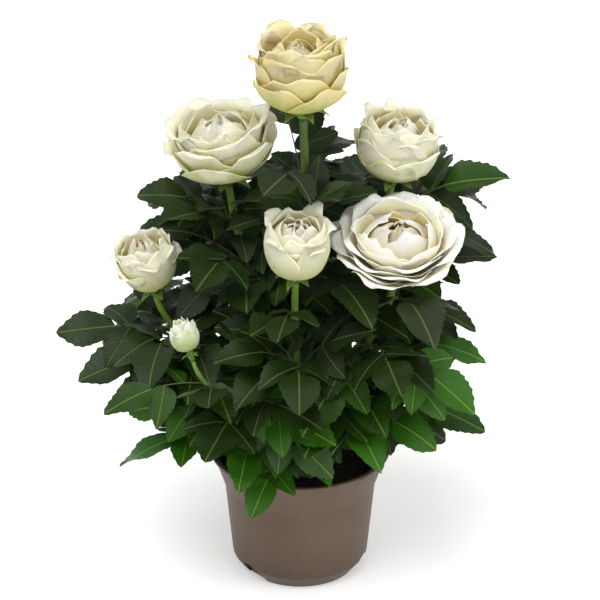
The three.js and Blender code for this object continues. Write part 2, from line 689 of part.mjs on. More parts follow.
const MARKS = 40; // places along a cane that leaves keep clear of
const taken = [];
for (const cane of CANES) {
  const line = caneLine(cane);
  const sepals = sepalsOf(cane);
  cane.axis = axisOf(cane);
  cane.marks = Array.from({ length: MARKS + 1 }, (_, i) => ({
    point: line.getPoint(i / MARKS),
    radius: caneRadius(cane, i / MARKS),
  }));
  cane.body = add(`cane_${cane.name}`, makeCane(cane), "cane");
  add(`calyx_${cane.name}`, makeCalyx(cane, sepals), "calyx");
  add(`bloom_${cane.name}`, makeBloom(cane), "petal");
  taken.push(...sepals.flatMap(({ leaflets }) => leaflets.map(roomOfBlade)));
}

for (const shoot of SHOOTS) taken.push(roomOfLine([0.2, 0.6, 1].map(course(shoot).line)));
const grown = SHOOTS.map(() => []);
const mostLeaves = Math.max(...SHOOTS.map(({ leaves }) => leaves));
for (let n = 0; n < mostLeaves; n++) {
  SHOOTS.forEach((shoot, i) => {
    const leaf = n < shoot.leaves && growLeaf(shoot, n, taken, CANES);
    if (leaf) grown[i].push(leaf);
  });
}
SHOOTS.forEach((shoot, i) => add(`leaves_${shoot.name}`, makeFoliage(shoot, grown[i], placed), "leaf"));

export default rose;
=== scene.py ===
"""A white patio rose in its nursery pot: six double blooms and a bud over dark, glossy leaves.

Shapes are worked out in millimetres, +Z up, and go into their meshes in metres. The origin is the middle of
the pot's flat underside, and -Y is the plant's show side.
"""

import math
from collections import namedtuple

import bpy
import numpy as np
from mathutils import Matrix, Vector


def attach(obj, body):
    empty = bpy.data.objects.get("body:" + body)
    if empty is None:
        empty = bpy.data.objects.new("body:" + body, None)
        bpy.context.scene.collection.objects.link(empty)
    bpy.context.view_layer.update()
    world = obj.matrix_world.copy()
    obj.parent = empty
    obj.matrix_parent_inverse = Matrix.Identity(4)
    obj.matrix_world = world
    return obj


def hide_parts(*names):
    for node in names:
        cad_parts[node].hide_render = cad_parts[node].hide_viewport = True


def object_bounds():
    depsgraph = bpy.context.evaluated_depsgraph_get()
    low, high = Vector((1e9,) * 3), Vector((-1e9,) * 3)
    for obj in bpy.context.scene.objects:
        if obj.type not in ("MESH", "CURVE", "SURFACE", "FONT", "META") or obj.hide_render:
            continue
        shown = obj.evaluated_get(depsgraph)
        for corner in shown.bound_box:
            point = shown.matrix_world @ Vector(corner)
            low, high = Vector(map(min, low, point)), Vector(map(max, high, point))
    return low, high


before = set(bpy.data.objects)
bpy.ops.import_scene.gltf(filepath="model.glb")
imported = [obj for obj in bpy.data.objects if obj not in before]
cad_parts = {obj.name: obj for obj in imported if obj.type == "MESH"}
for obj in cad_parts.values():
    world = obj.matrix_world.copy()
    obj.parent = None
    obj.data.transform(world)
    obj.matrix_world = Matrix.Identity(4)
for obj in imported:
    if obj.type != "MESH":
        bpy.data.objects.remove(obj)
cad_box = [list(corner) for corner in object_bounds()]

# ------------------------------------------------------------------ view
# The plant is seen from its show side, from a little above, through a long lens two metres away, so
# that its flowers keep their real proportions.
VIEW_HEIGHT = 0.21007  # of the point that the camera looks at, on the pot's axis
VIEW_DISTANCE = 2.0
VIEW_ABOVE = math.radians(25)
LENS = 170.2

camera = bpy.data.objects.new("camera", bpy.data.cameras.new("camera"))
camera.location = (
    0,
    -VIEW_DISTANCE * math.cos(VIEW_ABOVE),
    VIEW_HEIGHT + VIEW_DISTANCE * math.sin(VIEW_ABOVE),
)
camera.rotation_euler = (math.pi / 2 - VIEW_ABOVE, 0, 0)
camera.data.lens = LENS
camera.data.sensor_width = 36
bpy.context.scene.collection.objects.link(camera)
bpy.context.scene.camera = camera
bpy.context.scene.view_settings.view_transform = "Standard"


# ------------------------------------------------------------------ studio floor and light
# A seamless pale paper floor, lit by a wide soft light from above and the left, a fill from the right, and
# the white walls of the room.
class Wire:
    """A shader socket in an expression: numbers and wires combine with + - * / into Math nodes."""

    def __init__(self, tree, socket=None):
        self.tree = tree
        self.socket = socket

    def node(self, kind, settings=None, values=None, out=0):
        """A node of a kind. Its settings come first, then the values or links of its sockets."""
        made = self.tree.nodes.new(kind)
        for name, value in (settings or {}).items():
            setattr(made, name, value)
        for name, value in (values or {}).items():
            if isinstance(value, Wire):
                self.tree.links.new(value.socket, made.inputs[name])
            else:
                made.inputs[name].default_value = value
        return Wire(self.tree, made.outputs[out] if len(made.outputs) else None)

    def reckon(self, operation, first, second=0.0):
        """A Math node's result."""
        return self.node("ShaderNodeMath", {"operation": operation}, {0: first, 1: second})

    def __add__(self, other):
        return self.reckon("ADD", self, other)

    def __sub__(self, other):
        return self.reckon("SUBTRACT", self, other)

    def __rsub__(self, other):
        return self.reckon("SUBTRACT", other, self)

    def __mul__(self, other):
        return self.reckon("MULTIPLY", self, other)

    def __truediv__(self, other):
        return self.reckon("DIVIDE", self, other)

    def __abs__(self):
        return self.reckon("ABSOLUTE", self)

    __radd__, __rmul__ = __add__, __mul__

    def rise(self, low, high):
        """0 below low, 1 above high, and a smooth step between them."""
        return self.node(
            "ShaderNodeMapRange",
            {"interpolation_type": "SMOOTHSTEP"},
            {"Value": self, "From Min": low, "From Max": high},
        )

    def blend(self, first, second):
        """The first colour where this is 0 and the second where it is 1."""
        return self.node("ShaderNodeMix", {"data_type": "RGBA"}, {0: self, 6: first, 7: second}, out=2)

    def stretched(self, x, y, z):
        """This vector with each part multiplied."""
        return self.node("ShaderNodeVectorMath", {"operation": "MULTIPLY"}, {0: self, 1: (x, y, z)})

    def parts(self, axes):
        """This vector's parts along the axes named."""
        return [self.node("ShaderNodeSeparateXYZ", values={0: self}, out=axis) for axis in axes]

    def marked(self, name):
        """The number that the mesh holds for each of its points under a name."""
        return self.node("ShaderNodeAttribute", {"attribute_name": name}, out="Fac")

    def solid(self):
        """The place in the piece itself, in metres."""
        return self.node("ShaderNodeTexCoord", out="Object")

    def speckle(self, scale, detail=2.0, rough=0.5):
        """Noise from 0 to 1 over this vector, with about scale spots to a metre."""
        return self.node(
            "ShaderNodeTexNoise",
            values={"Vector": self, "Scale": scale, "Detail": detail, "Roughness": rough},
        )


def srgb(red, green, blue):
    """A screen colour, 0 to 255, as the linear colour that a shader takes."""
    parts = [c / 255 for c in (red, green, blue)]
    return (*[c / 12.92 if c <= 0.04045 else ((c + 0.055) / 1.055) ** 2.4 for c in parts], 1)


def new_paint(name, layer=None):
    """A new material, and the wire of the places that its pattern lies on: those of a flat map by its
    name, or else those in the piece itself."""
    material = bpy.data.materials.new(name)
    material.use_nodes = True
    material.node_tree.nodes.clear()
    start = Wire(material.node_tree)
    return material, start.node("ShaderNodeUVMap", {"uv_map": layer}) if layer else start.solid()


def shade(material, colour, roughness, height=None, relief=0.0, **constants):
    """Gives a material its surface. relief is how many metres a height of 1 stands up."""
    start = Wire(material.node_tree)
    values = {"Base Color": colour, "Roughness": roughness}
    if height is not None:
        bump = {"Height": height, "Distance": relief, "Strength": 1.0}
        values["Normal"] = start.node("ShaderNodeBump", values=bump)
    for name, value in constants.items():
        values[name.replace("_", " ").title().replace("Ior", "IOR")] = value
    surface = start.node("ShaderNodeBsdfPrincipled", values=values)
    start.node("ShaderNodeOutputMaterial", values={"Surface": surface})
    return material


def grid_faces(rows, columns, around=False):
    """Four-cornered faces over a grid of points stored row by row, joined round its columns or not.
    With rows going up and columns to the right, the faces look at the viewer."""
    across = np.arange(columns if around else columns - 1)
    row, column = np.meshgrid(np.arange(rows - 1) * columns, across, indexing="ij")
    after = (column + 1) % columns
    corners = [row + column, row + after, row + columns + after, row + columns + column]
    return np.stack(corners, -1).reshape(-1, 4)


def make_piece(name, points, faces, material, uv=None, layers=None, smooth=True):
    """A mesh object from points in millimetres and faces of one or more kinds, with flat maps that hold a
    place for each point or for each face's every corner, and named numbers for each point."""
    mesh = bpy.data.meshes.new(name)
    faces = [np.asarray(kind) for kind in (faces if isinstance(faces, list) else [faces])]
    mesh.from_pydata(
        (np.asarray(points) / 1000).tolist(), [], [face for kind in faces for face in kind.tolist()]
    )
    corners = np.concatenate([kind.ravel() for kind in faces])
    for layer, places in (uv or {}).items():
        places = np.asarray(places, np.float32)
        places = places[corners] if len(places) == len(points) else places
        mesh.uv_layers.new(name=layer).data.foreach_set("uv", places.ravel())
    for layer, numbers in (layers or {}).items():
        attribute = mesh.attributes.new(layer, "FLOAT", "POINT")
        attribute.data.foreach_set("value", np.asarray(numbers, np.float32))
    mesh.materials.append(material)
    mesh.polygons.foreach_set("use_smooth", [smooth] * len(mesh.polygons))
    mesh.update()
    made = bpy.data.objects.new(name, mesh)
    bpy.context.scene.collection.objects.link(made)
    return made


FLOOR_REACH = 6000
FLOOR_STEPS = 3
FLOOR_GLOW = 0.3  # the light that comes back to the paper from the white walls
WHITE = (1, 1, 1, 1)

paper, place = new_paint("floor_paper")
paper_colour = place.speckle(3).blend((0.94, 0.94, 0.935, 1), (0.96, 0.96, 0.955, 1))
glow = {"emission_color": WHITE, "emission_strength": FLOOR_GLOW}
shade(paper, paper_colour, 0.85, place.speckle(900, 3), 0.00008, **glow)
reach = np.linspace(-FLOOR_REACH, FLOOR_REACH, FLOOR_STEPS)
floor_y, floor_x = np.meshgrid(reach, reach, indexing="ij")
floor_points = np.stack([floor_x, floor_y, np.zeros_like(floor_x)], -1).reshape(-1, 3)
floor = make_piece("floor", floor_points, grid_faces(FLOOR_STEPS, FLOOR_STEPS), paper)

LAMPS = {  # place, how wide the light is in degrees, and its strength; each looks at the pot's foot
    "overhead": ((-0.35, -0.6, 1.4), 46, 2.0),
    "side_fill": ((1.2, -0.9, 0.7), 60, 1.0),
}
ROOM_LIGHT = 0.52

for name, (spot, spread, strength) in LAMPS.items():
    lamp = bpy.data.objects.new(name, bpy.data.lights.new(name, "SUN"))
    lamp.data.angle = math.radians(spread)
    lamp.data.energy = strength
    lamp.location = spot
    x, y, z = spot
    lamp.rotation_euler = (math.atan2(math.hypot(x, y), z), 0, math.atan2(-y, -x) - math.pi / 2)
    bpy.context.scene.collection.objects.link(lamp)

room = bpy.data.worlds.new("white_room")
room.use_nodes = True
walls_light = room.node_tree.nodes["Background"].inputs
walls_light["Color"].default_value = WHITE
walls_light["Strength"].default_value = ROOM_LIGHT
bpy.context.scene.world = room

# ------------------------------------------------------------------ pot
# A thin round nursery pot, injection moulded in recycled taupe plastic: a flared collar with a small lip,
# a foot with three arched drains, and drain holes in a channel pressed up into its underside.
POT_OUTSIDE = [(0, 0), (24, 0), (26, 2.2), (32, 2.2), (34, 0), (40.5, 0), (49, 11), (49.4, 14.5)]
POT_OUTSIDE += [(54.6, 68.2), (55.4, 69.6), (62.8, 91.6), (65, 91.6), (65, 94)]
POT_INSIDE = [(62, 94), (53.4, 69), (47.4, 11), (42.1, 4.2), (0, 4.2)]
POT_MIDWALL = [(0, 1.5), (41, 1.5), (48.2, 11), (53.8, 68), (0, 68)]  # trims the walls of the foot's pockets
POT_SIDES = 144
POT_CORNER = 0.9  # how far from a corner its rounding begins
POT_SHARP = math.radians(38)
NOTCH = {"count": 3, "first": -140, "width": 21, "height": 14, "inner": 38, "outer": 56, "wall": 1.6}
DRAINS = {"count": 5, "radius": 3.5, "out": 29, "tall": 18}


def rounded(corners, cut, steps=4):
    """A profile with its corners rounded: each becomes the quadratic curve from a point just before it,
    bent towards the corner, to a point just after it."""
    corners = np.asarray(corners, float)
    before, here, after = corners[:-2], corners[1:-1], corners[2:]

    def towards(other):
        way = other - here
        length = np.linalg.norm(way, axis=1, keepdims=True)
        return here + way * np.minimum(cut / length, 0.45)

    start, end = towards(before)[:, None], towards(after)[:, None]
    t = np.linspace(0, 1, steps)[None, :, None]
    bends = (1 - t) ** 2 * start + 2 * t * (1 - t) * here[:, None] + t**2 * end
    return np.concatenate([corners[:1], bends.reshape(-1, 2), corners[-1:]])


def ring_angles(sides):
    """The angles of a ring's points from +X, evenly round."""
    return np.arange(sides) * 2 * np.pi / sides


def capped(rings, low, high):
    """A closed skin over rings of points, an array of [ring, point, xyz]: four-cornered faces between the
    rings, and fans of triangles from the first ring to the low pole and from the last to the high one."""
    count, sides = rings.shape[:2]
    points = np.concatenate([rings.reshape(-1, 3), [low, high]])
    k, after = np.arange(sides), (np.arange(sides) + 1) % sides
    pole, top = count * sides, (count - 1) * sides
    low_fan = np.stack([np.full(sides, pole), after, k], -1)
    high_fan = np.stack([np.full(sides, pole + 1), top + k, top + after], -1)
    return points, [grid_faces(count, sides, around=True), low_fan, high_fan]


def turned(profile, sides):
    """A closed solid of revolution: the profile's points [radius, height] carried round +Z. The first and
    last points lie on the axis and become the poles."""
    turn = ring_angles(sides)
    radius, height = profile[1:-1, 0, None], profile[1:-1, 1, None]
    rings = np.stack(np.broadcast_arrays(radius * np.cos(turn), radius * np.sin(turn), height), -1)
    return capped(rings, [0, 0, profile[0, 1]], [0, 0, profile[-1, 1]])


def round_bar(radius, length, turn, out, height, upright, sides=28):
    """A round bar to cut with: a circle carried along an axis that points away from +Z at an angle, or
    up where it is upright."""
    angle = ring_angles(sides)
    ends = np.repeat([[-length / 2], [length / 2]], sides, 1)
    across, beside = np.tile(radius * np.cos(angle), (2, 1)), np.tile(radius * np.sin(angle), (2, 1))
    rings = np.stack([across, beside, ends] if upright else [ends, across, beside], -1)
    end = np.array([0, 0, length / 2] if upright else [length / 2, 0, 0])
    points, faces = capped(rings, -end, end)
    c, s = math.cos(math.radians(turn)), math.sin(math.radians(turn))
    return (points + [out, 0, height]) @ np.array([[c, s, 0], [-s, c, 0], [0, 0, 1]]), faces


def combined(body, steps):
    """Joins closed pieces to a body, cuts them out of it, or keeps what lies in both, in the order given,
    by Boolean modifiers, and keeps the finished mesh."""
    for operation, pieces in steps:
        for piece in pieces:
            step = body.modifiers.new("step", "BOOLEAN")
            step.operation = operation
            step.solver = "EXACT"
            step.object = piece
    graph = bpy.context.evaluated_depsgraph_get()
    whole = bpy.data.meshes.new_from_object(body.evaluated_get(graph))
    body.modifiers.clear()
    body.data = whole
    return body


def pocket_bars(name, extra):
    """The space of the foot's arched pockets, as round bars lying outwards with some depth added all
    round."""
    inner, outer, half = NOTCH["inner"] - extra, NOTCH["outer"], NOTCH["width"] / 2
    bars = []
    for i in range(NOTCH["count"]):
        turn = NOTCH["first"] + 360 / NOTCH["count"] * i
        middle, height = (outer + inner) / 2, NOTCH["height"] - half
        bar = round_bar(half + extra, outer - inner, turn, middle, height, upright=False)
        bars.append(make_piece(f"{name}_{i}", *bar, plastic))
    return bars


FOOT_SHADE = 0.045  # metres up the wall to which the darker foot reaches
RIM_STAIN = (0.076, 0.094)  # metres up, between which the damp stain under the lip comes in

plastic, place = new_paint("taupe_plastic")
x, y, z = place.parts("XYZ")
around_pot = x.reckon("ARCTAN2", y, x)
flow = around_pot.node("ShaderNodeCombineXYZ", values={"X": around_pot, "Y": z * 1.6})
streaks = flow.speckle(24, 4, 0.6)
clouds = place.speckle(22, 3)
grit = place.speckle(1500, 2).rise(0.62, 0.75)
foot = 1 - z.rise(0.0, FOOT_SHADE)
stain = z.rise(*RIM_STAIN) * place.speckle(95, 4).rise(0.45, 0.7)
tone = (streaks * 0.5 + clouds * 0.5).rise(0.3, 0.7)
taupe = tone.blend(srgb(76, 56, 38), srgb(89, 68, 49))
taupe = (foot * 0.8).blend(taupe, tone.blend(srgb(56, 41, 27), srgb(67, 50, 35)))
taupe = (grit * 0.25).blend(taupe, srgb(55, 43, 34))
taupe = (stain * 0.35).blend(taupe, srgb(54, 42, 33))
height = streaks * 0.6 + place.speckle(420, 3) * 0.4
shade(plastic, taupe, 0.42 + streaks * 0.14 + stain * 0.2, height, 0.00035)

pot = make_piece("nursery_pot", *turned(rounded(POT_OUTSIDE + POT_INSIDE, POT_CORNER), POT_SIDES), plastic)
filled = make_piece("filled_pot", *turned(np.array(POT_MIDWALL, float), POT_SIDES), plastic)
walls = [combined(bar, [("INTERSECT", [filled])]) for bar in pocket_bars("pocket_wall", NOTCH["wall"])]
holes = pocket_bars("pocket", 0)
for i in range(DRAINS["count"]):
    turn = 360 / DRAINS["count"] * i
    drain = round_bar(DRAINS["radius"], DRAINS["tall"], turn, DRAINS["out"], 0, upright=True)
    holes.append(make_piece(f"drain_{i}", *drain, plastic))
combined(pot, [("UNION", walls), ("DIFFERENCE", holes)])
for helper in [filled, *walls, *holes]:
    bpy.data.objects.remove(helper)
pot.data.polygons.foreach_set("use_smooth", [True] * len(pot.data.polygons))
pot.data.set_sharp_from_angle(angle=POT_SHARP)
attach(pot, "root")
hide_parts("pot")

# ------------------------------------------------------------------ soil
# Dark peat compost, filled to a centimetre under the rim: a lumpy bed pressed to the pot's wall, with
# loose crumbs lying on it.
SOIL = {"top": 84, "edge": 81, "flat": 32, "wide": 57.0, "base": 77.5, "pressed": 0.975}
SOIL_RINGS, SOIL_SIDES = 90, 240
LUMPS = ((0.7, 16), (0.45, 6), (0.3, 2.6))  # how high the bed's lumps stand, and how wide they are
CRUMBS = {"count": 1100, "least": 0.5, "most": 2.1}


def ripple(x, y, size, seed, waves=14):
    """A bumpy field from about -1 to 1: the sum of plane waves of random headings and phases, with
    wavelengths round the size."""
    draw = np.random.default_rng(seed)
    heading, phase = draw.uniform(0, 2 * np.pi, (2, waves))
    number = 2 * np.pi / (size * draw.uniform(0.6, 1.7, waves))
    run = x[..., None] * np.cos(heading) + y[..., None] * np.sin(heading)
    return np.sin(run * number + phase).sum(-1) / math.sqrt(waves)


def soil_height(x, y):
    """The bed: level in the middle and sinking to its edge, with lumps of three sizes."""
    out = np.hypot(x, y)
    bed = np.interp(out, [0, SOIL["flat"], SOIL["wide"]], [SOIL["top"], SOIL["top"], SOIL["edge"]])
    return bed - 0.5 + sum(high * ripple(x, y, size, seed) for seed, (high, size) in enumerate(LUMPS, 1))


def repeated(faces, step, count):
    """One copy's faces for a number of copies, with each copy's corners a step further on."""
    return (faces[None] + step * np.arange(count)[:, None, None]).reshape(-1, faces.shape[-1])


peat, place = new_paint("peat")
peat_colour = place.speckle(260, 5, 0.7).rise(0.35, 0.7).blend(srgb(17, 12, 9), srgb(58, 43, 32))
shade(peat, peat_colour, 0.93, place.speckle(700, 5, 0.7), 0.0012)

out = np.linspace(0.4, SOIL["wide"], SOIL_RINGS)
out, turn = np.meshgrid(out, ring_angles(SOIL_SIDES), indexing="ij")
bed_x, bed_y = out * np.cos(turn), out * np.sin(turn)
bed = np.stack([bed_x, bed_y, soil_height(bed_x, bed_y)], -1)
skirt = bed[-1] * [SOIL["pressed"], SOIL["pressed"], 0] + [0, 0, SOIL["base"]]
rings = np.concatenate([skirt[None], bed[::-1]])
soil = make_piece("peat_bed", *capped(rings, [0, 0, SOIL["base"]], bed[0].mean(0)), peat)

draw = np.random.default_rng(11)
lump = np.array([[1, 0, 0], [0, 1, 0], [-1, 0, 0], [0, -1, 0], [0, 0, 1], [0, 0, -1]], float)
lump_faces = np.array(
    [[0, 1, 4], [1, 2, 4], [2, 3, 4], [3, 0, 4], [1, 0, 5], [2, 1, 5], [3, 2, 5], [0, 3, 5]]
)
count = CRUMBS["count"]
far = SOIL["wide"] * np.sqrt(draw.uniform(0, 0.94, count))
spin = draw.uniform(0, 2 * np.pi, count)
size = CRUMBS["least"] + (CRUMBS["most"] - CRUMBS["least"]) * draw.uniform(0, 1, count) ** 3
crumb_x, crumb_y = far * np.cos(spin), far * np.sin(spin)
centre = np.stack([crumb_x, crumb_y, soil_height(crumb_x, crumb_y) + 0.25 * size], -1)
shape = lump[None] * draw.uniform(0.55, 1.2, (count, 6, 3)) * size[:, None, None] + centre[:, None]
crumb_faces = repeated(lump_faces, len(lump), count)
crumbs = make_piece("peat_crumbs", shape.reshape(-1, 3), crumb_faces, peat, smooth=False)
for piece in (soil, crumbs):
    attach(piece, "root")
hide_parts("soil")

# ------------------------------------------------------------------ canes
# Seven canes from the crown in the soil, each bending up to its own flower: round green wood, brown and
# corky at the foot, with a joint wherever a leaf stood, and hooked prickles.
UP = np.array([0.0, 0.0, 1.0])
CANE_FOOT = 84.3
ROOT_FLARE = 0.25
CANE_STEPS, CANE_SIDES = 70, 14
# Each cane: its foot on the soil, the flower's place, the flower's lean from upright and its heading, and the
# cane's radii at foot and top.
Cane = namedtuple("Cane", "foot head lean heading thick thin")
CANES = {
    "top": Cane((3, 6), (2, 5, 345), 3, 200, 4.2, 2.7),
    "left": Cane((-11, 10), (-50, 20, 289), 8, 200, 4.0, 2.6),
    "right": Cane((13, 9), (64, 25, 287), 8, 330, 4.0, 2.6),
    "open": Cane((14, -7), (66, -24, 242), 17, 275, 3.9, 2.6),
    "centre": Cane((0, -12), (-3, -47, 245), 12, 280, 3.6, 2.3),
    "side": Cane((-17, -3), (-101, -8, 217), 14, 215, 3.5, 2.0),
    "bud": Cane((-10, -14), (-73, -76, 199), 20, 150, 2.8, 1.4),
}


def climbing(heading, climb):
    """The direction at a heading from +X and a climb above level, both in degrees."""
    heading, climb = np.radians(heading), np.radians(climb)
    return np.stack([np.cos(heading) * np.cos(climb), np.sin(heading) * np.cos(climb), np.sin(climb)], -1)


def unit(vectors):
    """Each vector at length 1."""
    vectors = np.asarray(vectors, float)
    return vectors / np.linalg.norm(vectors, axis=-1, keepdims=True)


def axis_of(cane):
    """The way that a cane's flower looks: upright, leaned towards its heading."""
    return climbing(CANES[cane].heading, 90 - CANES[cane].lean)


def cane_line(cane, t):
    """Points along a cane: the cubic curve that leaves the soil upright and comes to the flower along the
    flower's axis."""
    foot = np.array([*CANES[cane].foot, CANE_FOOT], float)
    head = np.array(CANES[cane].head, float)
    rise = head[2] - foot[2]
    t = np.asarray(t, float)[..., None]
    low, high = foot + UP * rise * 0.4, head - axis_of(cane) * rise * 0.35
    return (1 - t) ** 3 * foot + 3 * t * (1 - t) ** 2 * low + 3 * t**2 * (1 - t) * high + t**3 * head


def cane_radius(cane, t):
    """A cane's radius: an even taper, thickened right at the soil."""
    thick, thin = CANES[cane].thick, CANES[cane].thin
    return (thick + (thin - thick) * t) * (1 + ROOT_FLARE * np.maximum(0, 1 - 9 * t))


def tube(line, radius, sides, wobble=1.0):
    """A closed round limb: circles of each radius, square to the line that they are carried along. The
    circles' side vector stands square to the line and to one fixed way. wobble multiplies the radius round
    it."""
    line = np.asarray(line, float)
    along = unit(np.gradient(line, axis=0))
    side = unit(np.cross(along, [0.31, 0.95, 0.05]))
    other = np.cross(along, side)
    turn = ring_angles(sides)
    size = np.broadcast_to(radius, len(line))[:, None] * wobble
    ring = side[:, None] * (np.cos(turn) * size)[..., None]
    ring = ring + other[:, None] * (np.sin(turn) * size)[..., None]
    return capped(line[:, None] + ring, line[0], line[-1])


def gathered(skins):
    """Several closed skins as one, with each face's corners moved on past the points before."""
    points, walls, caps, start = [], [], [], 0
    for some, (wall, *fans) in skins:
        points.append(some)
        walls.append(wall + start)
        caps += [fan + start for fan in fans]
        start += len(some)
    return np.concatenate(points), [np.concatenate(walls), np.concatenate(caps)]


bark, place = new_paint("green_bark")
up_cane, cane_lit = place.marked("along"), place.marked("cane_lit")
grain = place.stretched(1, 1, 0.16).speckle(700, 4, 0.6)
patches = place.speckle(60, 3)
# Canes are darker at the foot and bright green above; the top cane's upper wood is held darker as painted
# shade, by the share marked on its points.
green = (up_cane.rise(0.15, 0.95) * cane_lit).blend(srgb(44, 58, 24), srgb(116, 158, 56))
green = (grain.rise(0.45, 0.75) * 0.3).blend(green, srgb(120, 140, 70))
cork = (1 - up_cane).rise(0.72, 1.0) * patches.rise(0.35, 0.6)
wood = cork.blend(green, grain.rise(0.3, 0.7).blend(srgb(70, 52, 34), srgb(118, 96, 66)))
shade(bark, wood, 0.5 + cork * 0.3, grain, 0.0005)

prickle, place = new_paint("prickle")
shade(prickle, place.speckle(300).blend(srgb(112, 84, 40), srgb(150, 60, 40)), 0.45)

JOINTS = np.array([0.1, 0.2, 0.31, 0.42, 0.55, 0.67, 0.8, 0.92])
JOINT = {"long": 0.011, "swell": 0.14, "ribs": 0.03}
CANE_LIT = {"top": 0.25}  # painted shade: how far a cane's upper wood comes to its bright green, where it is painted darker for the shade that it stands in among the leaves
PRICKLES = {"count": 11, "from": 0.08, "to": 0.8, "short": 2.6, "long": 4.6, "hooked": 0.28, "thick": 0.95}

prickle_skins = []
for number, cane in enumerate(CANES):
    t = np.linspace(0, 1, CANE_STEPS)
    joint = np.exp(-(((t[:, None] - JOINTS) / JOINT["long"]) ** 2)).sum(1)[:, None]
    ribs = np.sin(5 * ring_angles(CANE_SIDES) + 9 * t[:, None] + number)
    wobble = 1 + JOINT["swell"] * joint + JOINT["ribs"] * ribs
    points, faces = tube(cane_line(cane, t), cane_radius(cane, t), CANE_SIDES, wobble)
    along = np.concatenate([np.repeat(t, CANE_SIDES), [0, 1]])
    layers = {"along": along, "cane_lit": np.full(len(points), CANE_LIT.get(cane, 1.0))}
    stem = make_piece(f"stem_{cane}", points, faces, bark, layers=layers)
    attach(stem, "root")
    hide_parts(f"cane_{cane}")
    draw = np.random.default_rng(40 + number)
    for t in draw.uniform(PRICKLES["from"], PRICKLES["to"], PRICKLES["count"]):
        foot, ahead = cane_line(cane, t), unit(cane_line(cane, t + 0.01) - cane_line(cane, t - 0.01))
        out = unit(np.cross(ahead, climbing(draw.uniform(0, 360), 3)))
        s = np.linspace(0, 1, 5)[:, None]
        long = draw.uniform(PRICKLES["short"], PRICKLES["long"])
        hook = foot + out * (cane_radius(cane, t) * 0.8 + long * s)
        hook = hook - ahead * (PRICKLES["hooked"] * long * s**2)
        prickle_skins.append(tube(hook, PRICKLES["thick"] * (1 - s[:, 0]) ** 1.3 + 0.05, 5))
prickles = make_piece("prickles", *gathered(prickle_skins), prickle)
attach(prickles, "root")

# ------------------------------------------------------------------ blooms
# Double garden roses: up to 38 thin petals in a spiral, the outer ones wide with rolled lips and the inner
# ones small and folded over the heart. Creamy white, yellow-green at the base, and warm amber at the heart,
# which is also painted into the depths and creases as warm shade.
HIP_HEIGHT = 8
AIR = 0.3
PETAL_ROWS, PETAL_COLUMNS = 19, 17
PETAL_THICK = 0.35
PETAL_GAP = 0.45  # the least that each petal stands further in than the one before it
GOLDEN = 137.508  # degrees from each petal to the next
